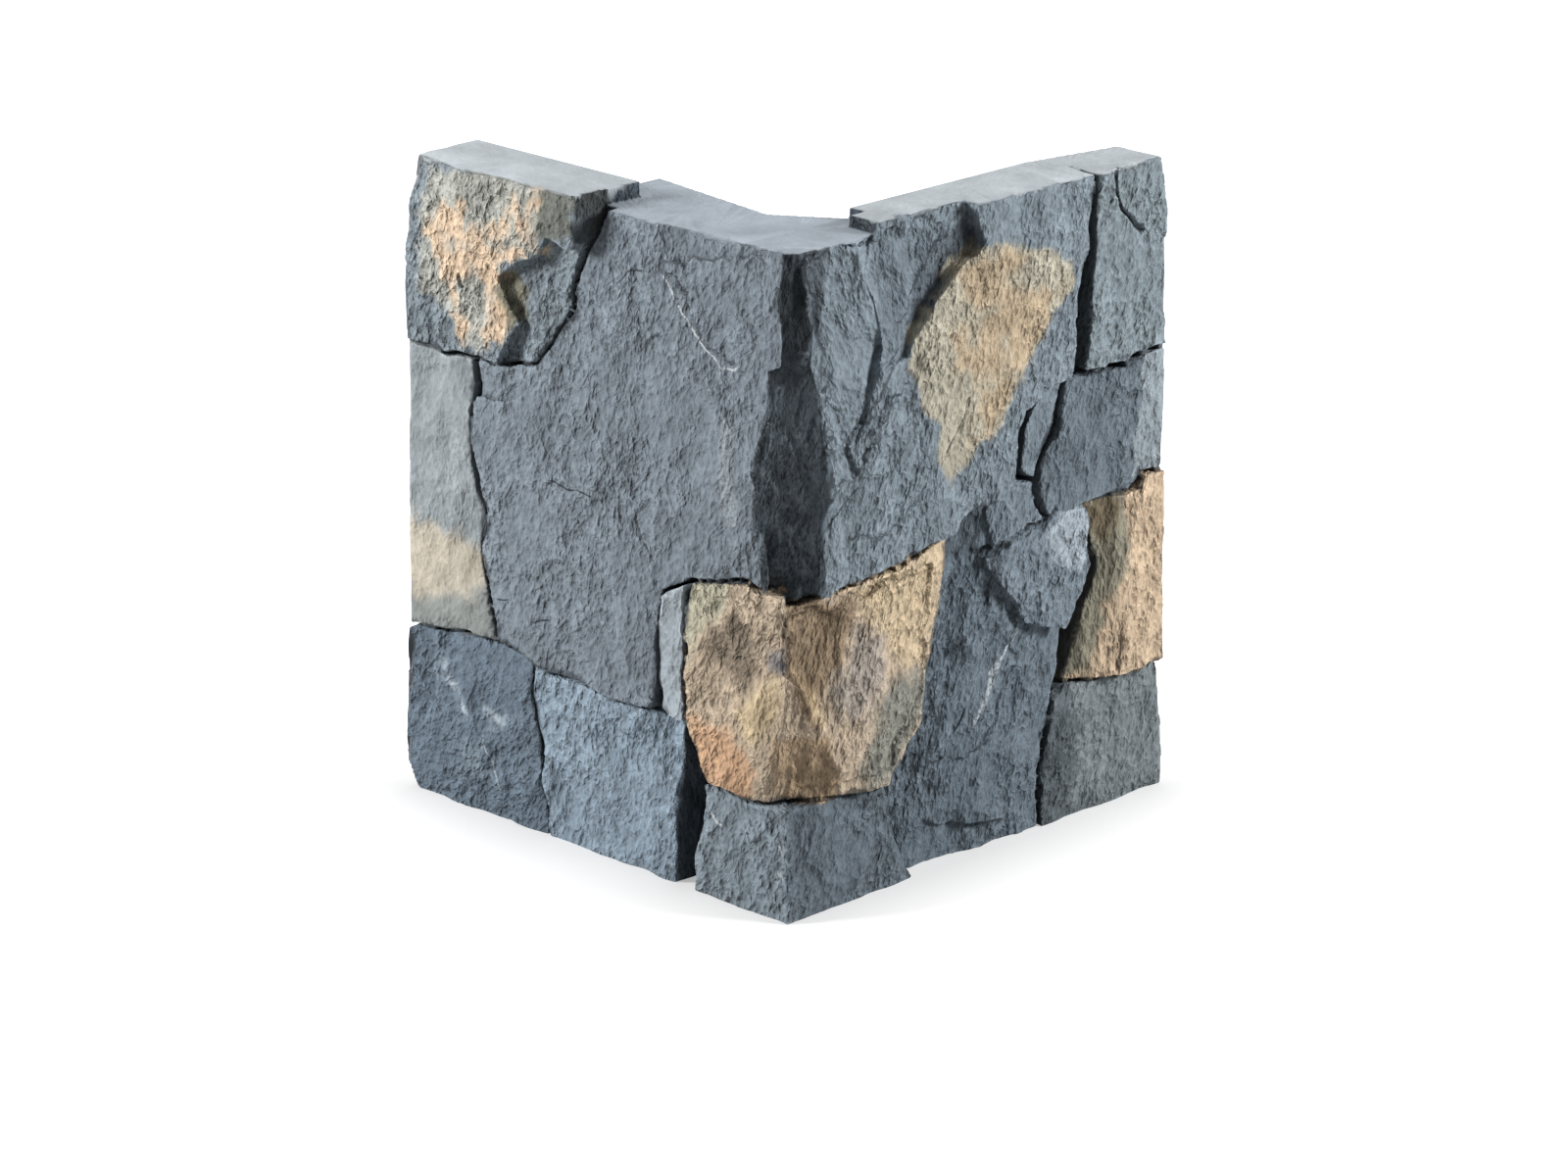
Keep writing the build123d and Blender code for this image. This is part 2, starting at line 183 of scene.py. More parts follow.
def knapped(points: Array, size: float, seed: int, tilt: float = 0.6) -> Array:
    """Scooped flakes that meet in sharp crests, as where a hammer has struck the stone.

    Args:
        points: places in millimetres, one row of three to a point.
        size: width of a flake in millimetres.
        seed: picks the pattern.
        tilt: how far a flake leans, as a share of its depth.

    Returns:
        One number to a point, about 0 in the scoops and 1 on the highest crests.
    """
    scaled = points / size
    base = np.floor(scaled).astype(np.int64)
    lowest = np.full(len(points), np.inf)
    for step in np.ndindex(3, 3, 3):
        cell = base + np.array(step) - 1
        heart = np.stack([scatter(cell, seed + axis) for axis in range(3)], axis=1)
        lean = np.stack([scatter(cell, seed + 3 + axis) for axis in range(3)], axis=1) * 2.0 - 1.0
        offset = scaled - cell - heart
        height = np.sum(offset * offset, axis=1) + tilt * np.sum(offset * lean, axis=1)
        lowest = np.minimum(lowest, height + 0.5 * scatter(cell, seed + 6))
    return lowest


@dataclass
class Faces:
    """A mesh's points read on the two outer faces, unrolled at the corner."""

    points: Array  # millimetres from the foremost planes of the two legs and from the base
    along: Array = field(init=False)  # along a leg from the corner, negative on the left leg
    up: Array = field(init=False)
    depth: Array = field(init=False)  # behind the leg's foremost plane
    run: Array = field(init=False)  # like along, but without a jump at the corner
    turn: Array = field(init=False)  # 0 on the left leg, 1 on the right, easing over at the corner

    def __post_init__(self) -> None:
        """Works the unrolled places out."""
        x, y, z = self.points.T
        right = x > y
        self.along = np.where(right, x, -y)
        self.up = z
        self.depth = np.where(right, y, x)
        self.run = x - y
        self.turn = ease(self.run, -CORNER_REACH, CORNER_REACH)

    def places(self) -> Array:
        """The unrolled places, one row of two to a point."""
        return np.stack([self.along, self.up], axis=1)

    def grain(self, slope: Array | float, stretch: float) -> Array:
        """The points turned to the grain and shortened along it, so that patterns in them run along it.

        Args:
            slope: of the grain, in degrees from level.
            stretch: how many times longer than wide the patterns get.

        Returns:
            Places in millimetres, one row of three to a point: across the grain, along it and into the stone.
        """
        angle = np.radians(slope)
        across = self.up * np.cos(angle) - self.run * np.sin(angle)
        along = self.up * np.sin(angle) + self.run * np.cos(angle)
        return np.stack([across, along / stretch, self.depth], axis=1)

    def outward(self) -> Array:
        """The level direction out of the faces, which swings round at the corner."""
        angle = self.turn * math.pi / 2
        return np.stack([-np.cos(angle), -np.sin(angle), np.zeros(len(angle))], axis=1)


def to_path(places: Array, path: Sequence[Place], closed: bool) -> tuple[Array, Array]:
    """Measures how far places lie from a path and on which side.

    Args:
        places: one row of two to a place, in millimetres.
        path: the path's corners.
        closed: whether the last corner joins the first.

    Returns:
        The distance to the path, and the signed distance, positive on the path's left.
    """
    corners = np.array(path, float)
    ends = np.roll(corners, -1, axis=0) if closed else corners[1:]
    best = np.full(len(places), np.inf)
    signed = np.zeros(len(places))
    for start, end in zip(corners, ends):
        run = end - start
        offset = places - start
        share = np.clip(offset @ run / (run @ run), 0.0, 1.0)
        gap = offset - share[:, None] * run
        distance = np.hypot(gap[:, 0], gap[:, 1])
        cross = run[0] * offset[:, 1] - run[1] * offset[:, 0]
        nearer = distance < best
        best = np.where(nearer, distance, best)
        signed = np.where(nearer, np.sign(cross) * distance, signed)
    return best, signed


def within(places: Array, outline: Sequence[Place]) -> Array:
    """Measures how far places lie inside an outline.

    Args:
        places: one row of two to a place, in millimetres.
        outline: the outline's corners.

    Returns:
        The distance to the outline, positive inside it and negative outside.
    """
    corners = np.array(outline, float)
    inside = np.zeros(len(places), bool)
    for start, end in zip(corners, np.roll(corners, -1, axis=0)):
        spans = (start[1] > places[:, 1]) != (end[1] > places[:, 1])
        rise = end[1] - start[1] if end[1] != start[1] else 1.0
        crossing = start[0] + (places[:, 1] - start[1]) * (end[0] - start[0]) / rise
        inside ^= spans & (places[:, 0] < crossing)
    distance, _ = to_path(places, outline, closed=True)
    return np.where(inside, distance, -distance)


@dataclass(frozen=True)
class TintPatch:
    """A patch of another tint on a stone: mostly staining, some of it painted shade or a painted highlight."""

    tint: str
    outline: tuple[Place, ...]
    strength: float = 0.85
    feather: float = 4.0
    wander: float = 6.0
    blotch: float = 0.0  # width of the blots that it breaks up into, or 0 for a whole patch

    def share(self, faces: Faces, wobble: Array) -> Array:
        """How strongly the patch covers each point.

        Args:
            faces: the points.
            wobble: a pair of numbers from -1 to 1 to a point, which break the edge up.

        Returns:
            Numbers from 0 to 1.
        """
        inside = within(faces.places() + self.wander * wobble, self.outline)
        share = self.strength * ease(inside, -self.feather, self.feather)
        if self.blotch:
            share *= ease(clouds(faces.points, self.blotch, Seed.BLOTCHES, 3), -0.55, 0.15)
        return share


@dataclass(frozen=True)
class Stone:
    """One moulded stone, or other surface of the casting: its tint, its grain, its cleft and its patches of
    other tints, some of them painted shade or light.
    """

    name: str
    tint: str
    place: Place | None = None  # somewhere on the stone's face, or none for the surfaces in Side
    slope: float = 66.0  # of the grain, in degrees from level
    rough: float = 1.0  # how strongly it is cleft
    tooth: float = 0.8  # how coarse its fine grain is, from 0 to 1, and how strongly its pits get painted shade
    tint_patches: tuple[TintPatch, ...] = ()


@dataclass(frozen=True)
class Thread:
    """A narrow line on the faces: a pale vein of mineral, an open crack, or a dark line of painted shade along
    an edge.
    """

    path: tuple[Place, ...]
    width: float = 1.2  # half of it lies on each side of the path
    strength: float = 0.8
    depth: float = 0.0  # how far a crack is open
    wander: float = 1.5
    near: float = 2.0  # how far beyond its width the line starts to fade
    far: float = 5.0  # and where it is gone
    tail: float = 9.0  # how near its end has to be to cut it off

    def sink(self, faces: Faces, wobble: Array) -> Array:
        """How far the crack takes each point back.

        Args:
            faces: the points.
            wobble: a pair of numbers from -1 to 1 to a point, which make the crack wander.

        Returns:
            Millimetres.
        """
        distance, _ = to_path(faces.places() + self.wander * wobble, self.path, closed=False)
        return self.depth * (1.0 - ease(distance, 0.4 * self.width, 1.2 * self.width))

    def offset(self, faces: Faces, wobble: Array) -> tuple[Array, Array]:
        """Where the points lie across the line.

        Args:
            faces: the points.
            wobble: a pair of numbers from -1 to 1 to a point, which make the line wander.

        Returns:
            The distance from the path in widths, negative on one side, and the line's strength, which is 0
            far from the path and beyond its ends.
        """
        places = faces.places() + self.wander * wobble
        distance, signed = to_path(places, self.path, closed=False)
        strength = self.strength * (1.0 - ease(distance, self.near + self.width, self.far + self.width))
        for end, inner in ((self.path[0], self.path[1]), (self.path[-1], self.path[-2])):
            run = np.array(end, float) - np.array(inner)
            beyond = (places - np.array(end)) @ run / np.hypot(*run)
            past = ease(beyond, -self.near, 1.0) * (distance < self.tail + self.width)
            strength = strength * (1.0 - past)
        return signed / self.width, strength


@dataclass(frozen=True)
class Shards:
    """A stretch of a face that broke into coarse scooped flakes, along a grain of its own."""

    outline: tuple[Place, ...]
    slope: float
    stretch: float
    width: float
    height: float
    feather: float = 12.0
    wander: float = 5.0

    def cover(self, faces: Faces, wobble: Array) -> Array:
        """How fully each point is in the stretch, from 0 to 1."""
        return ease(within(faces.places() + self.wander * wobble, self.outline), 0.0, self.feather)

    def sink(self, faces: Faces, wobble: Array) -> Array:
        """How far the flakes take each point back, as Thread.sink gives it."""
        flakes = knapped(faces.grain(self.slope, self.stretch), self.width, Seed.SHARDS)
        return self.height * (MIDDLE_FLAKE - flakes) * self.cover(faces, wobble)


@dataclass(frozen=True)
class Ramp:
    """A slope of broken stone at the foot of a cleft step, in place of an upright wall."""

    path: tuple[Place, ...]  # the step's edge
    level: float  # depth of the flat above the step, behind the foremost plane
    width: float
    wander: float = 2.0

    def sink(self, faces: Faces, wobble: Array) -> Array:
        """How far the slope brings each point forward, as Thread.sink gives it."""
        distance, _ = to_path(faces.places() + self.wander * wobble, self.path, closed=False)
        return -np.maximum(faces.depth - self.level, 0.0) * (1.0 - ease(distance, 0.0, self.width))


SURFACES = (
    Stone(
        "top left",
        "#7a848b",
        (-315, 395),
        62.0,
        1.2,
        1.0,
        (
            TintPatch(
                "#aeada2",
                (
                    (-318, 402), (-262, 414), (-202, 414), (-212, 378), (-217, 364), (-250, 358),
                    (-238, 330), (-246, 306), (-284, 296), (-302, 312), (-326, 325), (-318, 368),
                ),
                0.75,
            ),
            TintPatch(
                "#d1b89d",
                (
                    (-316, 368), (-300, 384), (-280, 388), (-275, 374), (-248, 382), (-228, 412),
                    (-206, 412), (-214, 380), (-219, 366), (-249, 358), (-254, 348), (-243, 331),
                    (-247, 305), (-284, 295), (-300, 314), (-305, 340),
                ),
                0.95,
                2.0,
                blotch=26.0,
            ),
            TintPatch(
                "#6a644d", ((-253, 349), (-240, 346), (-235, 325), (-242, 312), (-248, 330)), 0.75, 2.5, 4.0
            ),
            TintPatch(
                "#5f5d4d", ((-206, 412), (-180, 412), (-180, 384), (-200, 379), (-214, 378)), 0.7, 3.0, 5.0
            ),
        ),
    ),
    Stone(
        "left tall",
        "#92999c",
        (-305, 200),
        78.0,
        0.35,
        0.4,
        (
            TintPatch(
                "#c5bba8",
                ((-340, 176), (-301, 176), (-273, 168), (-269, 150), (-284, 136), (-340, 126)),
                0.85,
                6.0,
            ),
            TintPatch("#898b84", ((-340, 128), (-285, 137), (-258, 152), (-254, 112), (-340, 104)), 0.6),
        ),
    ),
    Stone(
        "bottom dark",
        "#64717d",
        (-280, 50),
        48.0,
        1.0,
        0.9,
        (
            TintPatch(
                "#b4bfc7",
                (
                    (-316, 91), (-300, 83), (-286, 72), (-270, 67), (-250, 66), (-250, 59), (-272, 59),
                    (-290, 65), (-304, 74), (-318, 82),
                ),
                0.7,
                4.0,
                7.0,
                9.0,
            ),
            TintPatch(
                "#a3aeb6", ((-286, 44), (-272, 36), (-264, 26), (-272, 26), (-284, 34)), 0.6, 3.0, 6.0, 8.0
            ),
        ),
    ),
    Stone("bottom blue", "#8594a1", (-160, 50), 74.0, 1.0, 0.9),
    Stone("sliver", "#9ba4aa", (-107, 140), 80.0, 0.6, 0.6),
    Stone("corner, left side", "#767f87", (-150, 250), 68.0, 0.7, 0.85),
    Stone(
        "corner, right side",
        "#78838b",
        (80, 300),
        68.0,
        0.7,
        0.85,
        (
            # Painted shadow: the dark side of the ledge at the tan patch's upper left, below the raised layer.
            TintPatch(
                "#3b4248",
                ((168, 392), (178, 380), (150, 366), (134, 350), (124, 342), (122, 360), (138, 388)),
                0.9,
                2.0,
            ),
            TintPatch("#69737b", ((92, 402), (158, 402), (148, 372), (130, 352), (112, 334), (98, 345)), 0.6),
            # Painted shade: a small dark hollow beside the top of the broken arris.
            TintPatch(
                "#3a4046",
                ((34, 350), (44, 352), (52, 368), (54, 390), (60, 404), (34, 404)),
                0.75,
                2.0,
                3.0,
            ),
            TintPatch(
                "#aaa493",
                (
                    (170, 380), (191, 378), (229, 369), (251, 355), (250, 338), (234, 328), (224, 312),
                    (209, 299), (196, 285), (190, 270), (172, 261), (156, 247), (142, 238), (133, 258),
                    (134, 274), (128, 286), (116, 303), (114, 323), (124, 341), (139, 358), (154, 371),
                ),
                0.95,
                1.5,
                3.0,
            ),
            TintPatch(
                "#ad9a80",
                (
                    (172, 376), (229, 366), (247, 352), (236, 332), (214, 303), (196, 286), (176, 268),
                    (158, 262), (158, 285), (148, 300), (144, 328), (148, 350), (158, 367),
                ),
                0.9,
                5.0,
                7.0,
                34.0,
            ),
        ),
    ),
    Stone(
        "tan corner",
        "#b6a590",
        (-50, 130),
        58.0,
        1.0,
        0.9,
        (
            TintPatch("#b4b29d", ((-96, 198), (-58, 198), (-66, 178), (-76, 162), (-92, 140)), 0.8, 4.0, 5.0),
            TintPatch("#c6b292", ((62, 190), (140, 206), (134, 160), (118, 128), (96, 148), (76, 170)), 0.7),
            TintPatch(
                "#786d60",
                ((-54, 184), (-40, 174), (-38, 150), (-44, 128), (-60, 138), (-74, 150), (-70, 166)),
                0.75,
            ),
            TintPatch("#6a6d76", ((-32, 161), (-18, 163), (-18, 151), (-30, 147)), 0.75, 3.0, 4.0),
            TintPatch("#c4b08c", ((-30, 146), (-18, 146), (-16, 112), (-34, 104), (-46, 116)), 0.7),
            TintPatch(
                "#cca482", ((-86, 104), (-57, 107), (-40, 96), (-34, 70), (-60, 60), (-84, 80)), 0.85, 6.0
            ),
            TintPatch(
                "#857159",
                ((16, 194), (66, 186), (56, 160), (42, 139), (30, 118), (20, 132), (15, 156)),
                0.75,
                3.0,
                4.0,
            ),
            # Painted highlight: the lit crest of the tongue beside the dark strip.
            TintPatch("#c9b491", ((21, 152), (30, 142), (41, 122), (37, 113), (28, 130)), 0.7, 2.5, 3.0),
            # Painted shadow: the dark strip left of the tongue, in the shadow of the ridge.
            TintPatch(
                "#5f4f3d",
                ((13, 192), (18, 192), (18, 157), (25, 132), (33, 115), (29, 112), (18, 131), (12, 155)),
                0.7,
                1.5,
                2.0,
            ),
            # Partly the stone's own brown, partly painted shade: this facet at the corner faces the camera
            # between the side lights.
            TintPatch(
                "#9f876b", ((-20, 110), (38, 108), (47, 77), (47, 50), (-26, 50), (-20, 92)), 0.75, 2.0, 3.0
            ),
            TintPatch("#938e8a", ((66, 168), (84, 158), (80, 128), (52, 110), (46, 138)), 0.7, 6.0),
            TintPatch("#797d77", ((88, 132), (124, 124), (114, 90), (84, 60), (64, 76), (78, 108)), 0.85, 7.0),
        ),
    ),
    Stone(
        "bottom corner",
        "#606a72",
        (60, 20),
        62.0,
        1.0,
        0.9,
        (TintPatch("#808b93", ((-90, 70), (0, 70), (0, -5), (-90, -5)), 0.9, 3.0, 4.0),),
    ),
    Stone("top right", "#788389", (310, 330), 60.0, 1.0, 0.9),
    Stone(
        "right middle",
        "#626c74",
        (275, 240),
        64.0,
        1.0,
        0.9,
        (TintPatch("#8f999f", ((316, 290), (345, 290), (345, 204), (310, 202), (311, 228)), 0.85, 2.5, 4.0),),
    ),
    Stone("chip", "#707b83", (226, 260), 70.0, 0.7),
    Stone(
        "right tall",
        "#626d76",
        (180, 100),
        64.0,
        1.1,
        0.9,
        (
            TintPatch("#737e87", ((180, 232), (236, 236), (236, 200), (190, 184)), 0.9, 1.5, 2.0),
            TintPatch(
                "#717c85",
                (
                    (176, 186), (193, 188), (222, 194), (238, 200), (266, 201), (276, 160), (256, 143),
                    (246, 124), (208, 139), (188, 163),
                ),
                0.9,
                2.0,
                3.0,
            ),
            TintPatch(
                "#9ea8b0",
                ((224, 188), (238, 200), (266, 202), (274, 172), (262, 163), (250, 163), (236, 176)),
                0.8,
            ),
            # Painted shade: the shadow under the pocket's edge, and the soft valley left of the ridge.
            TintPatch(
                "#3a4147",
                ((138, 208), (150, 216), (180, 227), (190, 206), (182, 188), (158, 184)),
                0.5,
                3.0,
            ),
            TintPatch(
                "#3a4147",
                ((136, 204), (152, 204), (147, 160), (135, 120), (122, 88), (110, 88), (126, 130)),
                0.5,
            ),
        ),
    ),
    Stone(
        "right sand",
        "#bca78e",
        (310, 150),
        82.0,
        1.0,
        0.8,
        (
            # Painted shadow: the dark left part and top corner of the stone, in shadow while the rest is lit.
            TintPatch(
                "#7b7a6c",
                (
                    (250, 206), (303, 203), (303, 168), (291, 140), (279, 118), (270, 92), (248, 84),
                    (256, 130),
                ),
                0.9,
            ),
            TintPatch("#5a4e3a", ((266, 202), (297, 199), (293, 182), (285, 168), (274, 178)), 0.8, 3.0, 4.0),
        ),
    ),
    Stone(
        "right low",
        "#737b7e",
        (280, 40),
        60.0,
        1.0,
        0.9,
        (TintPatch("#40474d", ((230, 92), (258, 90), (266, 60), (258, -5), (216, -5)), 0.7, 5.0),),
    ),
    # The joints' floors take the near black of the joints: painted shade.
    Stone(Side.BED.value, JOINT_SHADE_TINT, None, rough=0.5),
    # The broken arris is darker than the faces, partly its own darker tone and partly painted shade where it
    # faces the camera between the side lights; its upper break is taken nearly black, painted shade in that
    # hollow.
    Stone(
        Side.BROKEN_ARRIS.value,
        "#565f66",
        None,
        rough=1.4,
        tooth=1.0,
        tint_patches=(TintPatch("#22282c", ((-70, 405), (70, 405), (70, 334), (-70, 334)), 0.95, 16.0, 14.0),),
    ),
    Stone(Side.CORNER_TOP.value, "#959da5", None, rough=0.5, tooth=0.15),
    Stone(Side.TOP.value, "#a4aaae", None, rough=0.5, tooth=0.15),
    Stone(Side.BACK.value, "#8f9498", None, rough=0.5, tooth=0.15),
    Stone(Side.TOP_STEP.value, "#434b53", None, rough=0.8, tooth=0.9),
)

NUMBERS = {surface.name: number for number, surface in enumerate(SURFACES)}
IS_STONE = np.array([surface.place is not None for surface in SURFACES])

VEINS = (
    Thread(
        ((-124, 370), (-106, 349), (-94, 337), (-84, 328), (-77, 323), (-64, 323), (-58, 330)), 0.8, 0.85
    ),
    Thread(((211, 131), (205, 125), (192, 114)), 1.3, 0.7),
    Thread(((194, 116), (184, 103), (174, 91), (166, 81)), 2.8, 0.6),
    Thread(((-69, 51), (-57, 46)), 1.1),
    Thread(((-268, 52), (-262, 40), (-250, 18)), 1.0, 0.45),
    Thread(((-12, 45), (-10, 38)), 1.3),
    Thread(((-15, 28), (-8, 24)), 1.3),
    Thread(((-65, 296), (-66, 268), (-66, 249), (-58, 230)), 8.0, 0.25),
)

CRACKS_AND_SHADE_LINES = (
    Thread(((-214, 226), (-195, 225), (-173, 225)), 0.8, 0.9, 0.5),
    Thread(((-225, 134), (-211, 137)), 0.8, 0.9, 0.5),
    Thread(((-259, 140), (-247, 143)), 0.8, 0.9, 0.5),
    Thread(((-129, 232), (-140, 220), (-137, 212), (-129, 203), (-120, 190), (-116, 178)), 1.0, 0.5, 1.0),
    Thread(((-286, 342), (-284, 333)), 1.6, 0.8, 2.0),
    Thread(((-160, 358), (-152, 367), (-141, 370)), 0.8, 0.8, 0.5),
    Thread(((72, 264), (60, 249), (50, 238), (45, 226)), 0.9, 0.8, 1.0),
    # Painted shade: a dark line along the lower edge of the stone above, where the joint's shade falls.
    Thread(((158, 212), (187, 221), (197, 229), (202, 248), (208, 271)), 1.6, 0.9),
    Thread(((158, 291), (156, 279), (149, 269), (143, 258)), 1.1, 0.8, 1.5),
    Thread(((290, 410), (289, 392), (302, 374), (315, 360)), 1.6, 0.9, 4.0),
    Thread(((297, 122), (296, 101), (294, 86)), 1.0, 0.8, 1.5),
    # Painted shadow: a dark line along the flake's top edge, under the pocket.
    Thread(((178, 187), (200, 191), (223, 196), (240, 203)), 1.5, 0.8, 2.5),
)

SHARDS = (
    Shards(
        ((36, 402), (160, 402), (120, 345), (108, 325), (78, 282), (46, 240), (44, 300)),
        118.0,
        2.6,
        18.0,
        7.5,
    ),
    Shards(((-128, 380), (-106, 349), (-84, 326), (-60, 322), (-45, 330), (-40, 398)), 60.0, 1.6, 9.0, 2.2),
    Shards(((80, 290), (110, 320), (130, 250), (110, 215), (60, 215), (60, 250)), 62.0, 3.0, 16.0, 3.0),
    Shards(((-92, 190), (14, 190), (14, 70), (-92, 70)), 56.0, 1.7, 30.0, 5.0),
    Shards(((16, 186), (136, 198), (122, 118), (92, 70), (20, 70)), 64.0, 2.2, 20.0, 4.5),
    Shards(((-90, 62), (112, 62), (116, -8), (-90, -8)), 60.0, 1.4, 26.0, 4.5, 6.0),
    Shards(
        ((150, 215), (185, 222), (190, 160), (215, 130), (180, 60), (130, 60), (145, 140)),
        56.0,
        1.8,
        28.0,
        5.0,
    ),
)

RAMPS = (
    Ramp(((185, 168), (183, 148), (175, 136), (179, 121), (174, 104), (158, 86), (142, 70)), 10.5, 26.0),
)


@dataclass(frozen=True)
class Cleft:
    """How a stone face split: swells, layers and scooped flakes along the grain, in millimetres."""

    swell_width: float = 90.0
    swell_height: float = 1.3
    layer_width: float = 62.0
    layer_step: float = 0.9
    layers: float = 2.6  # how many steps the layers climb
    plate_width: float = 30.0
    plate_height: float = 2.6
    flake_width: float = 11.0
    flake_height: float = 1.9
    flake_least: float = 0.4  # share of the flakes' height on the smoothest stretches
    flake_more: float = 0.9  # and what the roughest add
    stretch: float = 1.7  # how many times longer than wide all these are
    edge_width: float = 30.0
    edge_wander: float = 2.6

    def sink(self, faces: Faces, slope: Array) -> Array:
        """How far the cleft takes each point back from the stone's flats.

        Args:
            faces: the points.
            slope: of the grain at each point, in degrees from level.

        Returns:
            Millimetres, both ways about zero.
        """
        grain = faces.grain(slope, self.stretch)
        swells = self.swell_height * clouds(faces.points, self.swell_width, Seed.SWELLS, 2)
        layers = self.layer_step * terraces(self.layers * clouds(grain, self.layer_width, Seed.LAYERS, 4))
        plates = self.plate_height * (MIDDLE_FLAKE - knapped(grain, self.plate_width, Seed.PLATES))
        flakes = self.flake_height * (MIDDLE_FLAKE - knapped(grain, self.flake_width, Seed.FLAKES))
        return swells + layers + plates + flakes * (self.flake_least + self.flake_more * patches(faces))

    def wander(self, points: Array) -> Array:
        """How far each point is moved sideways, so that joints and edges run unevenly.

        Args:
            points: places in millimetres, one row of three to a point.

        Returns:
            Millimetres, one row of three to a point.
        """
        moves = [clouds(points, self.edge_width, Seed.WANDER + 10 * axis, 2) for axis in range(3)]
        return self.edge_wander * np.stack(moves, axis=1)


def terraces(climb: Array, tread: float = 0.8) -> Array:
    """Turns a smooth climb into layers that are flat over their tread, with steep edges."""
    return np.floor(climb) + ease(climb % 1.0, tread, 1.0)


def patches(faces: Faces) -> Array:
    """Where a face split coarsely, from 0 where it is smooth to 1 where it is roughest."""
    return ease(clouds(faces.points, PATCH_WIDTH, Seed.PATCHES, 3), -0.45, 0.35)


def per_metre(width: float) -> float:
    """The noise scale that gives features of this width in millimetres."""
    return 1.0 / (width * MILLIMETRE)


def add(
    tree: bpy.types.NodeTree,
    kind: str,
    links: dict[str | int, bpy.types.NodeSocket] | None = None,
    values: dict[str | int, object] | None = None,
    **settings: object,
) -> bpy.types.NodeOutputs:
    """Adds a node with its settings and links.

    Args:
        tree: the tree that gets the node.
        kind: the node's type.
        links: what feeds each input.
        values: what each other input is set to.
        settings: the node's own settings.

    Returns:
        The node's outputs.
    """
    node = tree.nodes.new(kind)
    for name, value in settings.items():
        setattr(node, name, value)
    for name, value in (values or {}).items():
        node.inputs[name].default_value = value
    for name, socket in (links or {}).items():
        tree.links.new(socket, node.inputs[name])
    return node.outputs


def mottle(width: float, detail: float) -> dict[str, float]:
    """The values of a noise with features this wide in millimetres, and so many finer layers."""
    return {"Scale": per_metre(width), "Detail": detail, "Roughness": 0.6}


def ranges(source: tuple[float, float], target: tuple[float, float]) -> dict[str, float]:
    """The values of a map from one range of numbers to another."""
    return {"From Min": source[0], "From Max": source[1], "To Min": target[0], "To Max": target[1]}


def scallops(tree: bpy.types.NodeTree, at: bpy.types.NodeSocket, width: float) -> bpy.types.NodeSocket:
    """Adds small angular scoops that meet in sharp crests.

    Args:
        tree: the tree that gets the nodes.
        at: the places that they are read at.
        width: of a scoop, in millimetres.

    Returns:
        The output, 0 in the scoops' middles and up to about 1 on the crests.
    """
    waves = {"Scale": per_metre(1.5 * width), "Detail": 2.0}
    warp = add(tree, "ShaderNodeTexNoise", {"Vector": at}, waves)["Color"]
    reach = {"Scale": 1.4 * width * MILLIMETRE}
    push = add(tree, "ShaderNodeVectorMath", {0: warp}, reach, operation="SCALE")["Vector"]
    moved = add(tree, "ShaderNodeVectorMath", {0: at, 1: push}, operation="ADD")["Vector"]
    cells = {"Scale": per_metre(width)}
    return add(tree, "ShaderNodeTexVoronoi", {"Vector": moved}, cells, distance="CHEBYCHEV")["Distance"]


def seen_directly(tree: bpy.types.NodeTree) -> bpy.types.NodeSocket:
    """Adds the test of whether the camera sees a surface, also in a gloss or through glass.

    Args:
        tree: the tree that gets the nodes.

    Returns:
        The output that is 1 where it is seen and 0 where it only lights other things.
    """
    rays = add(tree, "ShaderNodeLightPath")
    seen = rays["Is Camera Ray"]
    for name in ("Is Glossy Ray", "Is Transmission Ray"):
        seen = add(tree, "ShaderNodeMath", {0: seen, 1: rays[name]}, operation="MAXIMUM")["Value"]
    return seen


@dataclass(frozen=True)
class Line:
    """How the mesh's veins or cracks are drawn: their attribute, their tint and how they break off."""

    name: str
    tint: str
    gap_width: float  # of the gaps along the lines, in millimetres
    gap_range: tuple[float, float]  # of the noise, from gap to line
    least: float  # how much of the line is left in a gap


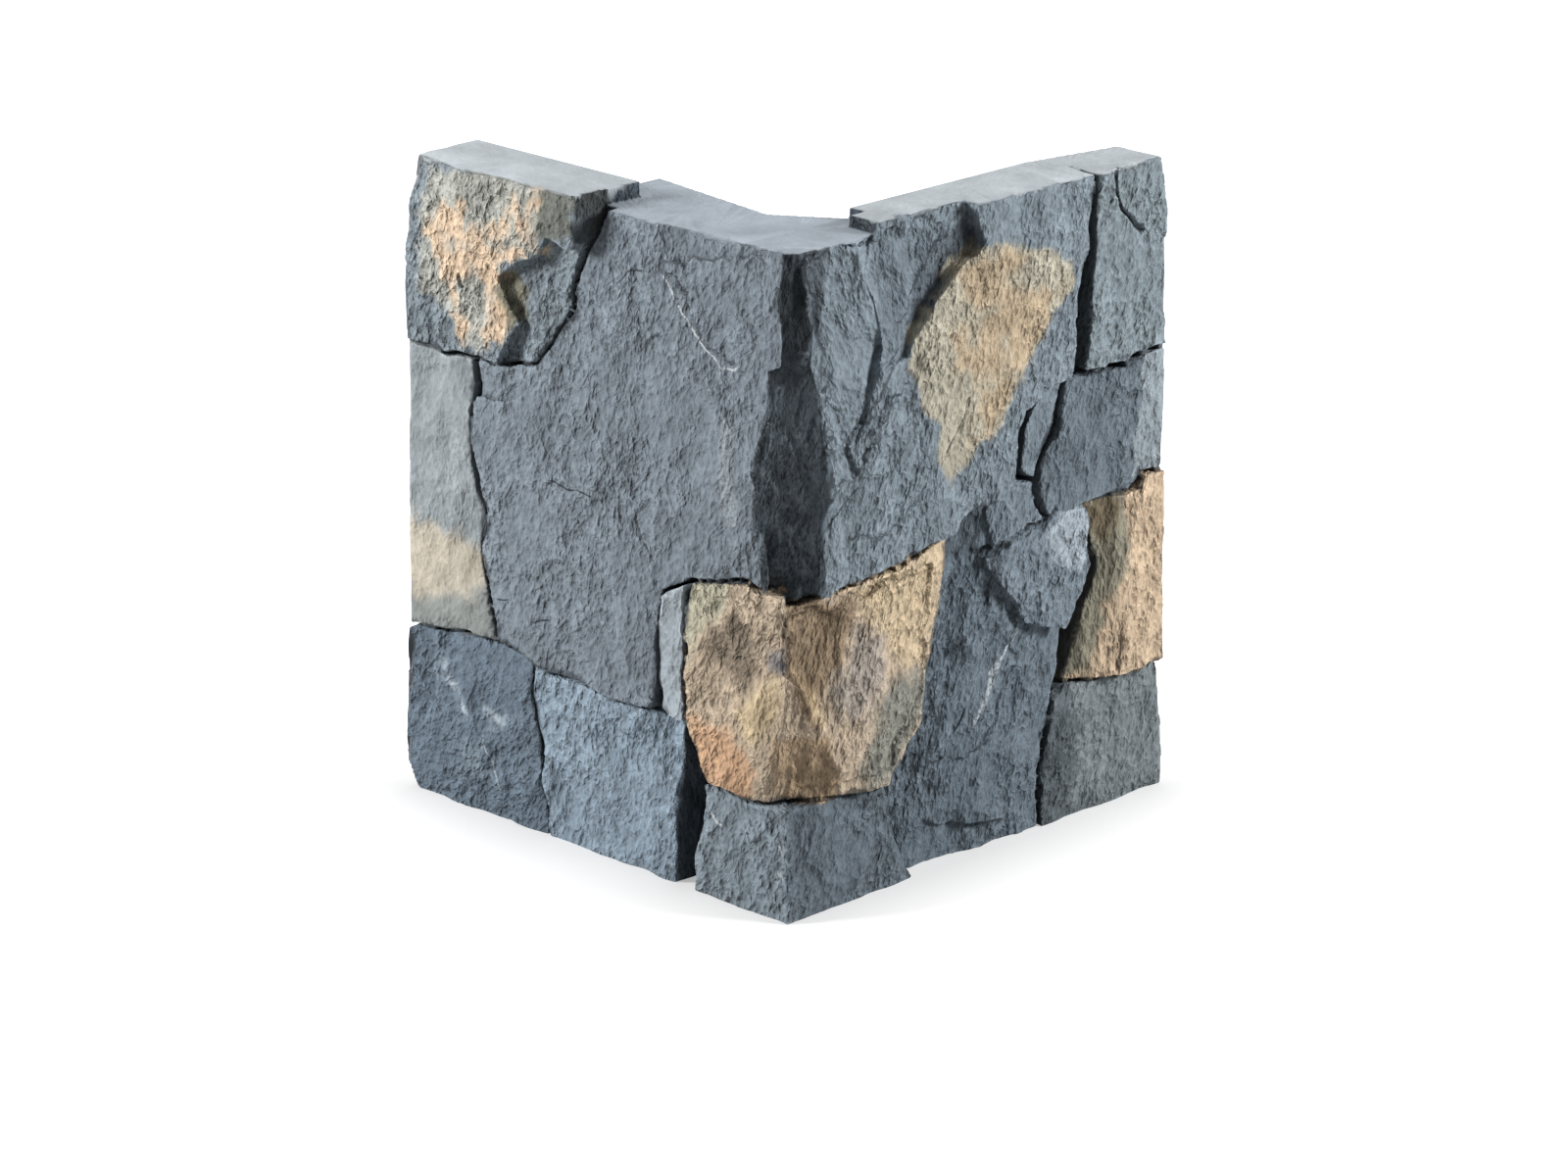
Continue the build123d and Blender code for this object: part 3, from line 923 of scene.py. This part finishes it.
@dataclass(frozen=True)
class CastStone:
    """Cast concrete, moulded from cleft stone and coloured: dull and gritty, with painted shade in the pits
    along the grain.

    The tint comes from the mesh, painted shade and highlights included, and so do the places along the grain,
    how coarse the grain is, the veins and the cracks. Grain too fine for the mesh is in the bump, and the same
    grain gives its pits painted shade and its crests a painted highlight.
    """

    roughness: float = 0.88
    ior: float = 1.5
    gloss: float = 0.3  # concrete's dust dulls even its faint gloss
    scale_width: float = 7.0
    scale_depth: float = 4.6
    scale_shades: tuple[float, float] = (0.77, 1.19)  # painted shade of the pits and painted highlight of the crests
    grain_width: float = 3.0
    grain_depth: float = 2.6
    grain_shades: tuple[float, float] = (0.64, 1.3)
    pits: tuple[float, float] = (0.05, 0.55)  # heights from a pit to a crest
    grit_width: float = 1.2  # drawn coarser than sand, which wouldn't show
    grit_depth: float = 0.5
    blotch_width: float = 24.0
    blotch_shades: tuple[float, float] = (0.87, 1.13)
    lines: tuple[Line, ...] = (
        Line("veins", VEIN_TINT, 2.0, (0.38, 0.55), 0.15),
        Line("cracks", CRACK_AND_SHADE_LINE_TINT, 6.0, (0.3, 0.42), 0.3),
    )

    def material(self) -> bpy.types.Material:
        """Builds the material.

        Returns:
            The material, which reads the mesh's tint with its painted shade and highlights, grain, veins and
            cracks.
        """
        made = bpy.data.materials.new("cast_concrete_moulded_from_cleft_stone")
        made.use_nodes = True
        tree = made.node_tree
        shader = tree.nodes["Principled BSDF"]
        shader.inputs["Roughness"].default_value = self.roughness
        shader.inputs["IOR"].default_value = self.ior
        shader.inputs["Specular IOR Level"].default_value = self.gloss
        # The mesh's tint, with its staining, painted shade and painted highlights.
        tint_and_light = add(tree, "ShaderNodeVertexColor", layer_name="tint_and_light")
        along = add(tree, "ShaderNodeAttribute", attribute_name="grain")["Vector"]
        place = add(tree, "ShaderNodeNewGeometry")["Position"]
        scales = scallops(tree, along, self.scale_width)
        grain = scallops(tree, along, self.grain_width)
        shade = self._shade(tree, scales, grain, tint_and_light["Alpha"], place)
        links = {0: tint_and_light["Color"], "Scale": shade}
        colour = add(tree, "ShaderNodeVectorMath", links, operation="SCALE")["Vector"]
        for line in self.lines:
            colour = self._drawn(tree, colour, line, place)
        tree.links.new(colour, shader.inputs["Base Color"])
        grit = add(tree, "ShaderNodeTexNoise", {"Vector": place}, mottle(self.grit_width, 2.0))["Fac"]
        normal = None
        for height, depth in ((grit, self.grit_depth), (grain, self.grain_depth), (scales, self.scale_depth)):
            links = {"Height": height, "Strength": tint_and_light["Alpha"]}
            if normal:
                links["Normal"] = normal
            normal = add(tree, "ShaderNodeBump", links, {"Distance": depth * MILLIMETRE})["Normal"]
        tree.links.new(normal, shader.inputs["Normal"])
        return made

    def _shade(
        self,
        tree: bpy.types.NodeTree,
        scales: bpy.types.NodeSocket,
        grain: bpy.types.NodeSocket,
        tooth: bpy.types.NodeSocket,
        place: bpy.types.NodeSocket,
    ) -> bpy.types.NodeSocket:
        """Paints shade into the pits of the grain and a highlight onto its crests, where it is coarse, and
        mottles the whole.

        Args:
            tree: the tree that gets the nodes.
            scales: heights of the coarser grain.
            grain: heights of the finer grain.
            tooth: how coarse the grain is, from 0 to 1, and so how strongly the painted shade and highlight
                show.
            place: where the mottling is read.

        Returns:
            What the mesh's tint is multiplied by.
        """
        coarse = add(tree, "ShaderNodeMapRange", {"Value": scales}, ranges(self.pits, self.scale_shades))
        fine = add(tree, "ShaderNodeMapRange", {"Value": grain}, ranges(self.pits, self.grain_shades))
        both = {0: coarse["Result"], 1: fine["Result"]}
        # Painted shade in the pits and a painted highlight on the crests of both grains.
        pit_shade_and_crest_highlight = add(tree, "ShaderNodeMath", both, operation="MULTIPLY")["Value"]
        bitten = add(tree, "ShaderNodeMix", {0: tooth, 3: pit_shade_and_crest_highlight}, {2: 1.0})[0]
        cloud = add(tree, "ShaderNodeTexNoise", {"Vector": place}, mottle(self.blotch_width, 5.0))["Fac"]
        blotch = add(tree, "ShaderNodeMapRange", {"Value": cloud}, ranges((0.3, 0.7), self.blotch_shades))
        return add(tree, "ShaderNodeMath", {0: bitten, 1: blotch["Result"]}, operation="MULTIPLY")["Value"]

    def _drawn(
        self, tree: bpy.types.NodeTree, under: bpy.types.NodeSocket, line: Line, place: bpy.types.NodeSocket
    ) -> bpy.types.NodeSocket:
        """Draws the mesh's veins or cracks over a colour.

        Args:
            tree: the tree that gets the nodes.
            under: the colour.
            line: how they are drawn.
            place: where their gaps are read.

        Returns:
            The colour with the lines.
        """
        noise = add(tree, "ShaderNodeTexNoise", {"Vector": place}, mottle(line.gap_width, 2.0))["Fac"]
        whole = add(tree, "ShaderNodeMapRange", {"Value": noise}, ranges(line.gap_range, (line.least, 1.0)))
        across = add(tree, "ShaderNodeAttribute", attribute_name=line.name)["Vector"]
        parts = add(tree, "ShaderNodeSeparateXYZ", {0: across})
        away = add(tree, "ShaderNodeMath", {0: parts["X"]}, operation="ABSOLUTE")["Value"]
        inside = add(tree, "ShaderNodeMapRange", {"Value": away}, ranges((0.4, 1.0), (1.0, 0.0)))
        cover = inside["Result"]
        for share in (parts["Y"], whole["Result"]):
            cover = add(tree, "ShaderNodeMath", {0: cover, 1: share}, operation="MULTIPLY")["Value"]
        tint = {7: (*linear(line.tint), 1.0)}
        return add(tree, "ShaderNodeMix", {0: cover, 6: under}, tint, data_type="RGBA")[2]


@dataclass(frozen=True)
class Skin:
    """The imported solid's faces, to be searched by place."""

    tree: BVHTree
    labels: Array  # the number of each face's surface
    deep: Array  # whether each face reaches the bottom of a joint

    def nearest(self, points: Array) -> tuple[Array, Array, Array, Array]:
        """Finds the face nearest to each point.

        Args:
            points: in metres, one row of three to a point.

        Returns:
            The place on the face, its normal, the number of its surface and whether it is deep.
        """
        found = [self.tree.find_nearest(point) for point in points]
        places, normals = (np.array([entry[part] for entry in found]) for part in (0, 1))
        hit = np.array([entry[2] for entry in found])
        return places, normals, self.labels[hit], self.deep[hit]


@dataclass
class CornerPanel:
    """The casting: its solid's mesh, cut to small faces, cleft and stained."""

    node: str = "corner_panel"
    bed_depth: float = 31.0  # of the joints' bottoms behind the foremost plane
    corner_drop: float = 10.0  # of the corner's top under the left leg's
    relief_light: float = 14.0  # how far the worn corners of the legs' ends reach along the legs
    free_depth: float = 23.0  # before this the faces take the whole of their cleft
    still_depth: float = 53.0  # behind this nothing is moved
    bed_play: float = 1.0  # how far a face may sink behind the bottoms of the joints
    base_share: float = 0.3  # how much of the cleft is left at the base
    base_reach: float = 10.0  # over which it grows to the whole
    rim_drop: float = 11.0  # the tops' edges lie within this of the highest
    rim_reach: float = 12.0  # over which edges near the rims start to wander
    voxel: float = 1.4
    triangles: int = 190_000
    sharp: float = 50.0  # from this angle in degrees, an edge is shaded sharp
    relief_light_strength: float = 0.9  # how strongly crests get a painted highlight and hollows painted shade
    relief_light_limit: float = 0.35
    tooth_least: float = 0.65  # how much of a stone's fine grain its smoothest stretches have
    joint_fill: float = 0.2  # how far each side of a joint is swollen into it
    # how far the stones' sides in the joints are blended towards the joints' painted shade
    joint_shade: float = 0.75
    grain_stretch: float = 1.5  # how many times longer than wide the fine grain is
    finish: CastStone = CastStone()
    cleft: Cleft = Cleft()

    def build(self) -> bpy.types.Object:
        """Makes the casting's visible piece.

        Returns:
            The piece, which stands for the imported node.
        """
        solid = bpy.data.objects[self.node]
        self.low, self.high = (np.array(corner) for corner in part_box(self.node))
        welded = self._welded(solid)
        self.skin = self._skin(welded)
        fine = self._voxels(welded)
        self._break(fine)
        piece = self._thinned(fine)
        self._colour_with_painted_light(piece.data)
        piece.data.materials.append(self.finish.material())
        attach(piece, "root")
        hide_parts(self.node)
        return piece

    def _faces(self, points: Array) -> Faces:
        """Reads points in metres in the row's frame on the unrolled faces."""
        return Faces((points - self.low) / MILLIMETRE)

    def _welded(self, solid: bpy.types.Object) -> bpy.types.Mesh:
        """Copies the solid's mesh and joins its doubled corners."""
        mesh = solid.data.copy()
        work = bmesh.new()
        work.from_mesh(mesh)
        bmesh.ops.remove_doubles(work, verts=work.verts, dist=0.01 * MILLIMETRE)
        work.to_mesh(mesh)
        work.free()
        return mesh

    def _skin(self, mesh: bpy.types.Mesh) -> Skin:
        """Finds which stone each of the solid's faces belongs to.

        A stone's face and sides touch each other and no other stone, because the joints between are open.

        Args:
            mesh: the solid's mesh.

        Returns:
            The faces, to be searched by place.
        """
        labels = [self._side(polygon) for polygon in mesh.polygons]
        depths = self._faces(read_points(mesh)).depth
        deep = [max(depths[list(polygon.vertices)]) > self.bed_depth - 0.5 for polygon in mesh.polygons]
        around: dict[int, list[int]] = {}
        for polygon in mesh.polygons:
            for corner in polygon.vertices:
                around.setdefault(corner, []).append(polygon.index)
        tree = BVHTree.FromPolygons(
            [corner.co for corner in mesh.vertices], [polygon.vertices for polygon in mesh.polygons]
        )
        for number, stone in enumerate(SURFACES):
            waiting = [self._nearest(tree, stone.place)] if stone.place else []
            while waiting:
                index = waiting.pop()
                if labels[index] is not None:
                    continue
                labels[index] = number
                for corner in mesh.polygons[index].vertices:
                    waiting.extend(around[corner])
        left_over = sum(label is None for label in labels)
        LOG.info("faces of the solid that no stone claims: %d", left_over)
        bed = NUMBERS[Side.BED.value]
        return Skin(tree, np.array([bed if label is None else label for label in labels]), np.array(deep))

    def _side(self, polygon: bpy.types.MeshPolygon) -> int | None:
        """Tells whether a face of the solid is no stone's weathered face.

        Args:
            polygon: the face.

        Returns:
            The number of its surface, or none for the face of a stone.
        """
        centre = np.array(polygon.center)
        depth = self._faces(centre[None]).depth[0]
        under_top = (self.high[2] - centre[2]) / MILLIMETRE
        across, ahead, rise = polygon.normal
        side = None
        if rise > 0.9 and under_top < 1.5 * self.corner_drop:
            side = Side.TOP if under_top < 0.5 * self.corner_drop else Side.CORNER_TOP
        elif min(across, ahead) < -0.9 and under_top < self.corner_drop and depth > self.bed_depth + 1.0:
            side = Side.TOP_STEP
        elif depth > self.bed_depth + 1.0 or centre[2] < 1e-5:
            side = Side.BACK
        elif max(across, ahead) > 0.5 and np.any(self.high[:2] - centre[:2] < self.relief_light * MILLIMETRE):
            side = Side.BACK
        elif depth > self.bed_depth - 0.5:
            side = Side.BED
        elif across < -0.5 and ahead < -0.5 and abs(rise) < 1e-3:
            side = Side.BROKEN_ARRIS
        elif abs(across + ahead) < 1e-3 and abs(across) > 0.1:
            side = Side.BROKEN_ARRIS
        return NUMBERS[side.value] if side else None

    def _nearest(self, tree: BVHTree, place: Place) -> int:
        """The face of the solid at a place on the unrolled faces."""
        along, up = place
        level = self.low[2] + up * MILLIMETRE
        if along < 0:
            start = Vector((self.low[0] - 0.1, self.low[1] - along * MILLIMETRE, level))
            return tree.ray_cast(start, Vector((1, 0, 0)))[2]
        start = Vector((self.low[0] + along * MILLIMETRE, self.low[1] - 0.1, level))
        return tree.ray_cast(start, Vector((0, 1, 0)))[2]

    def _voxels(self, mesh: bpy.types.Mesh) -> bpy.types.Mesh:
        """Cuts the solid's mesh into small even faces."""
        maker = bpy.data.objects.new("voxels", mesh)
        bpy.context.scene.collection.objects.link(maker)
        modifier = maker.modifiers.new("voxels", "REMESH")
        modifier.mode = "VOXEL"
        modifier.voxel_size = self.voxel * MILLIMETRE
        made = bpy.data.meshes.new_from_object(maker.evaluated_get(bpy.context.evaluated_depsgraph_get()))
        bpy.data.objects.remove(maker)
        LOG.info("voxel faces: %d", len(made.polygons))
        return made

    def _break(self, mesh: bpy.types.Mesh) -> None:
        """Gives the faces their cleft, shards and cracks."""
        points, normals, owners, deep = self.skin.nearest(read_points(mesh))
        faces = self._faces(points)
        wobble = edge_wobble(faces.points)
        rough = np.array([surface.rough for surface in SURFACES])[owners]
        sink = rough * self.cleft.sink(faces, self._slopes(owners, faces, wobble))
        weathered = (owners != NUMBERS[Side.BROKEN_ARRIS.value]).astype(float)
        for feature in (*CRACKS_AND_SHADE_LINES, *SHARDS, *RAMPS):
            sink += weathered * feature.sink(faces, wobble)
        hold = ease(faces.depth, self.still_depth, self.free_depth)
        deepest = np.maximum(self.bed_depth - faces.depth, 0.0)
        base = self.base_share + (1.0 - self.base_share) * ease(faces.up, 0.0, self.base_reach)
        sink = np.minimum(sink, deepest + self.bed_play) * hold * base
        moves = -sink[:, None] * faces.outward()
        aside = self.cleft.wander(faces.points) * hold[:, None]
        height = (self.high[2] - self.low[2]) / MILLIMETRE
        rim = np.minimum(faces.up, height - self.rim_drop - faces.up)
        aside[:, 2] *= ease(rim, 0.0, self.rim_reach)
        length = (self.high[0] - self.low[0]) / MILLIMETRE
        aside[:, :2] *= ease(length - np.abs(faces.along), 0.0, self.rim_reach)[:, None]
        aside += self.joint_fill * normals * self._joint_walls(faces, owners, normals, deep)[:, None]
        moved = np.maximum(faces.points + moves + aside, 0.0)
        write_points(mesh, self.low + moved * MILLIMETRE)

    def _joint_walls(self, faces: Faces, owners: Array, normals: Array, deep: Array) -> Array:
        """Tells which points are on the side of a stone, in a joint.

        Args:
            faces: the points.
            owners: the number of the surface that each is on.
            normals: of the solid there, one row of three to a point.
            deep: whether the solid's face there reaches the bottom of a joint.

        Returns:
            True or false to a point.
        """
        sideways = np.abs(np.sum(normals * faces.outward(), axis=1)) < 0.5
        return deep & sideways & IS_STONE[owners] & (normals[:, 2] < 0.9)

    def _slopes(self, owners: Array, faces: Faces, wobble: Array) -> Array:
        """The slope of the grain at each point, by the surface or the shards that it is on."""
        slopes = np.array([surface.slope for surface in SURFACES])[owners]
        for stretch in SHARDS:
            slopes = np.where(stretch.cover(faces, wobble) > 0.3, stretch.slope, slopes)
        return slopes

    def _levelled(self, points: Array, faces: Faces, owners: Array) -> Array:
        """Counts the rims of the flat tops to the tops, so that their tint is even up to the edge.

        Args:
            points: in metres, one row of three to a point.
            faces: the same points on the unrolled faces.
            owners: the number of the surface that each is on.

        Returns:
            The numbers, changed at the rims.
        """
        inward = points - MILLIMETRE * faces.outward()
        inward[:, 2] += 2.0 * MILLIMETRE
        found, _, above, _ = self.skin.nearest(inward)
        tops = [NUMBERS[side.value] for side in (Side.TOP, Side.CORNER_TOP)]
        rim = np.isin(above, tops) & (np.abs(found[:, 2] - points[:, 2]) < 0.3 * MILLIMETRE)
        return np.where(rim, above, owners)

    def _thinned(self, mesh: bpy.types.Mesh) -> bpy.types.Object:
        """Takes out the small faces that the shape doesn't need."""
        maker = bpy.data.objects.new("thinning", mesh)
        bpy.context.scene.collection.objects.link(maker)
        modifier = maker.modifiers.new("thinning", "DECIMATE")
        modifier.ratio = min(1.0, self.triangles / (2 * len(mesh.polygons)))
        made = bpy.data.meshes.new_from_object(maker.evaluated_get(bpy.context.evaluated_depsgraph_get()))
        bpy.data.objects.remove(maker)
        made.materials.clear()
        made.shade_smooth()
        made.set_sharp_from_angle(angle=math.radians(self.sharp))
        piece = bpy.data.objects.new("stone_veneer", made)
        bpy.context.scene.collection.objects.link(piece)
        LOG.info("stone_veneer: %d faces", len(made.polygons))
        return piece

    def _colour_with_painted_light(self, mesh: bpy.types.Mesh) -> None:
        """Colours the mesh: a tint and patches for each stone, a painted highlight on crests with painted
        shade in hollows, and painted shade in the joints.
        """
        points = read_points(mesh)
        faces = self._faces(points)
        wobble = edge_wobble(faces.points)
        raised = np.maximum(points, self.low + (0.0, 0.0, 2.0 * MILLIMETRE))
        _, normals, owners, deep = self.skin.nearest(raised)
        owners = self._levelled(points, faces, owners)
        colour = np.array([linear(surface.tint) for surface in SURFACES])[owners]
        for number, surface in enumerate(SURFACES):
            mine = owners == number
            own = Faces(faces.points[mine])
            for tint_and_light in surface.tint_patches:
                colour[mine] = blend(colour[mine], tint_and_light.tint, tint_and_light.share(own, wobble[mine]))
        # Painted highlight on crests and painted shade in hollows, by how far each point stands over its
        # neighbours.
        relief_light = np.clip(crests(mesh, points), -self.relief_light_limit, self.relief_light_limit)
        colour *= 1.0 + self.relief_light_strength * relief_light[:, None]
        # Painted shade on the stones' sides in the joints.
        colour = blend(colour, JOINT_SHADE_TINT, self.joint_shade * self._joint_walls(faces, owners, normals, deep))
        tooth = np.array([surface.tooth for surface in SURFACES])[owners]
        tooth *= self.tooth_least + (1.0 - self.tooth_least) * patches(faces)
        slopes = self._slopes(owners, faces, wobble)
        # The tint layer holds the staining and also the painted shade and highlights.
        tint_and_light_layer = mesh.color_attributes.new("tint_and_light", "FLOAT_COLOR", "POINT")
        tint_and_light_layer.data.foreach_set("color", np.column_stack([colour, tooth]).ravel())
        write_vectors(mesh, "grain", faces.grain(slopes, self.grain_stretch) * MILLIMETRE)
        outside = np.sum(normals * faces.outward(), axis=1) > 0.4
        outside &= faces.depth < self.bed_depth - 1.0
        write_vectors(mesh, "veins", nearest_thread(VEINS, faces, wobble) * outside[:, None])
        write_vectors(mesh, "cracks", nearest_thread(CRACKS_AND_SHADE_LINES, faces, wobble) * outside[:, None])


def nearest_thread(threads: Sequence[Thread], faces: Faces, wobble: Array) -> Array:
    """Reads the points across whichever line is strongest at each.

    Args:
        threads: the lines.
        faces: the points.
        wobble: a pair of numbers from -1 to 1 to a point, which make the lines wander.

    Returns:
        One row of three to a point: the distance from the line in widths, the line's strength, and 0.
    """
    across = np.full(len(faces.points), 9.0)
    strongest = np.zeros(len(faces.points))
    for thread in threads:
        offset, strength = thread.offset(faces, wobble)
        stronger = strength > strongest
        across = np.where(stronger, offset, across)
        strongest = np.where(stronger, strength, strongest)
    return np.column_stack([across, strongest, np.zeros(len(across))])


def crests(mesh: bpy.types.Mesh, points: Array) -> Array:
    """How far each point stands over its neighbours.

    Args:
        mesh: the mesh.
        points: its points in metres, one row of three to a point.

    Returns:
        One number to a point, above 0 on crests and below 0 in hollows.
    """
    ends = np.empty(2 * len(mesh.edges), int)
    mesh.edges.foreach_get("vertices", ends)
    first, second = ends.reshape(-1, 2).T
    normals = np.empty(3 * len(mesh.vertices))
    mesh.vertices.foreach_get("normal", normals)
    normals = normals.reshape(-1, 3)
    run = points[second] - points[first]
    run /= np.maximum(np.linalg.norm(run, axis=1), 1e-9)[:, None]
    drop = np.bincount(first, -np.sum(normals[first] * run, axis=1), len(points))
    drop += np.bincount(second, np.sum(normals[second] * run, axis=1), len(points))
    return drop / np.maximum(np.bincount(ends, minlength=len(points)), 1)


def blend(colour: Array, tint: str, share: Array) -> Array:
    """Mixes a tint into colours.

    Args:
        colour: linear colours, one row of three to a point.
        tint: the sRGB hex colour that comes in.
        share: how much of it, from 0 to 1, to a point.

    Returns:
        The mixed colours.
    """
    return colour + (np.array(linear(tint)) - colour) * share[:, None]


def edge_wobble(points: Array) -> Array:
    """Pairs of numbers from -1 to 1 that break up the edges of what is drawn on the faces."""
    seeds = (Seed.WOBBLE_ALONG, Seed.WOBBLE_UP)
    return np.stack([clouds(points, WOBBLE_WIDTH, seed, 3) for seed in seeds], axis=1)


def read_points(mesh: bpy.types.Mesh) -> Array:
    """A mesh's points in metres, one row of three to a point."""
    flat = np.empty(3 * len(mesh.vertices))
    mesh.vertices.foreach_get("co", flat)
    return flat.reshape(-1, 3)


def write_points(mesh: bpy.types.Mesh, points: Array) -> None:
    """Puts points in metres back into their mesh."""
    mesh.vertices.foreach_set("co", points.ravel())
    mesh.update()


def write_vectors(mesh: bpy.types.Mesh, name: str, vectors: Array) -> None:
    """Gives a mesh's points a vector each, under a name."""
    mesh.attributes.new(name, "FLOAT_VECTOR", "POINT").data.foreach_set("vector", vectors.ravel())


@dataclass(frozen=True)
class Softbox:
    """A square soft lamp: where it hangs round the panel in degrees and metres, its side and its watts."""

    name: str
    azimuth: float
    elevation: float
    distance: float
    size: float
    power: float


@dataclass
class Studio:
    """A pale floor, soft side lights and the camera."""

    aim: tuple[float, float, float] = (-0.1030, -0.1010, 0.1787)
    azimuth: float = -45.0
    elevation: float = 18.55
    distance: float = 3.47
    lens: float = 133.5
    lamps: tuple[Softbox, ...] = (
        Softbox("left_softbox", -130.0, 24.0, 2.2, 0.55, 47.5),
        Softbox("right_softbox", 40.0, 24.0, 2.2, 0.55, 47.5),
        Softbox("top_softbox", 135.0, 72.0, 2.0, 1.2, 14.0),
    )
    room_light: float = 0.1
    floor_size: float = 12.0
    floor_bounce: float = 0.43  # share of the light that the floor gives back to the panel
    floor_shown: float = 0.62  # the same, as it is seen
    painted_shadow_reach: tuple[float, float] = (0.17, 0.32)  # metres from the middle over which the floor's painted shadow fades to white
    painted_shadow_glow: tuple[float, float] = (0.40, 1.0)  # how much the floor glows there, dimmed in the painted shadow round the base

    def build(self) -> None:
        """Sets the floor, the lights, the world and the camera."""
        self._floor()
        for box in self.lamps:
            self._light(box)
        self._world()
        self._camera()

    def _away(self, azimuth: float, elevation: float, distance: float) -> Vector:
        """The place at an azimuth, an elevation and a distance from the aim."""
        a, e = math.radians(azimuth), math.radians(elevation)
        back = Vector((math.sin(a) * math.cos(e), -math.cos(a) * math.cos(e), math.sin(e)))
        return Vector(self.aim) + distance * back

    def _point(self, thing: bpy.types.Object, place: Vector) -> None:
        """Puts a lamp or the camera at a place, looking at the aim."""
        bpy.context.scene.collection.objects.link(thing)
        thing.location = place
        thing.rotation_euler = (Vector(self.aim) - place).to_track_quat("-Z", "Y").to_euler()

    def _light(self, box: Softbox) -> None:
        """Hangs a softbox."""
        lamp = bpy.data.lights.new(box.name, "AREA")
        lamp.shape = "SQUARE"
        lamp.size = box.size
        lamp.energy = box.power
        place = self._away(box.azimuth, box.elevation, box.distance)
        self._point(bpy.data.objects.new(box.name, lamp), place)

    def _floor(self) -> None:
        """Lays a plain floor of matt white paint, which shows white but keeps the panel's shadow; near the
        panel its glow is dimmed, a painted shadow round the base.
        """
        half = self.floor_size / 2
        corners = [(-half, -half, 0), (half, -half, 0), (half, half, 0), (-half, half, 0)]
        mesh = bpy.data.meshes.new("floor")
        mesh.from_pydata(corners, [], [(0, 1, 2, 3)])
        floor = bpy.data.objects.new("floor", mesh)
        bpy.context.scene.collection.objects.link(floor)
        made = bpy.data.materials.new("painted_floor_matt_white")
        made.use_nodes = True
        tree = made.node_tree
        shader = tree.nodes["Principled BSDF"]
        seen = seen_directly(tree)
        bounce = ranges((0.0, 1.0), (self.floor_bounce, self.floor_shown))
        grey = add(tree, "ShaderNodeMapRange", {"Value": seen}, bounce)["Result"]
        tree.links.new(grey, shader.inputs["Base Color"])
        shader.inputs["Roughness"].default_value = 0.9
        shader.inputs["Specular IOR Level"].default_value = 0.0
        # Painted shadow: the floor glows less near the panel, in a band that follows the legs' bases.
        place = add(tree, "ShaderNodeNewGeometry")["Position"]
        away = add(tree, "ShaderNodeVectorMath", {0: place}, operation="ABSOLUTE")["Vector"]
        sides = add(tree, "ShaderNodeSeparateXYZ", {0: away})
        reach = add(tree, "ShaderNodeMath", {0: sides["X"], 1: sides["Y"]}, operation="MAXIMUM")["Value"]
        fade = ranges(self.painted_shadow_reach, self.painted_shadow_glow)
        white = add(tree, "ShaderNodeMapRange", {"Value": reach}, fade)["Result"]
        glow = add(tree, "ShaderNodeMath", {0: white, 1: seen}, operation="MULTIPLY")["Value"]
        shader.inputs["Emission Color"].default_value = (1.0, 1.0, 1.0, 1.0)
        tree.links.new(glow, shader.inputs["Emission Strength"])
        mesh.materials.append(made)

    def _world(self) -> None:
        """Fills the room with a little light, and shows it white."""
        world = bpy.data.worlds.new("studio")
        bpy.context.scene.world = world
        world.use_nodes = True
        tree = world.node_tree
        background = tree.nodes["Background"]
        background.inputs["Color"].default_value = (1.0, 1.0, 1.0, 1.0)
        levels = ranges((0.0, 1.0), (self.room_light, 1.0))
        strength = add(tree, "ShaderNodeMapRange", {"Value": seen_directly(tree)}, levels)["Result"]
        tree.links.new(strength, background.inputs["Strength"])

    def _camera(self) -> None:
        """Sets the camera at the photograph's angle."""
        lens = bpy.data.cameras.new("camera")
        lens.lens = self.lens
        lens.clip_end = 50.0
        camera = bpy.data.objects.new("camera", lens)
        self._point(camera, self._away(self.azimuth, self.elevation, self.distance))
        bpy.context.scene.camera = camera


def main() -> None:
    """Builds the dressed panel and the studio round it."""
    logging.basicConfig(level=logging.INFO)
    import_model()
    bpy.context.scene.view_settings.view_transform = "Standard"
    panel = CornerPanel().build()
    LOG.info("piece %s", panel.name)
    Studio().build()


if __name__ == "__main__":
    main()
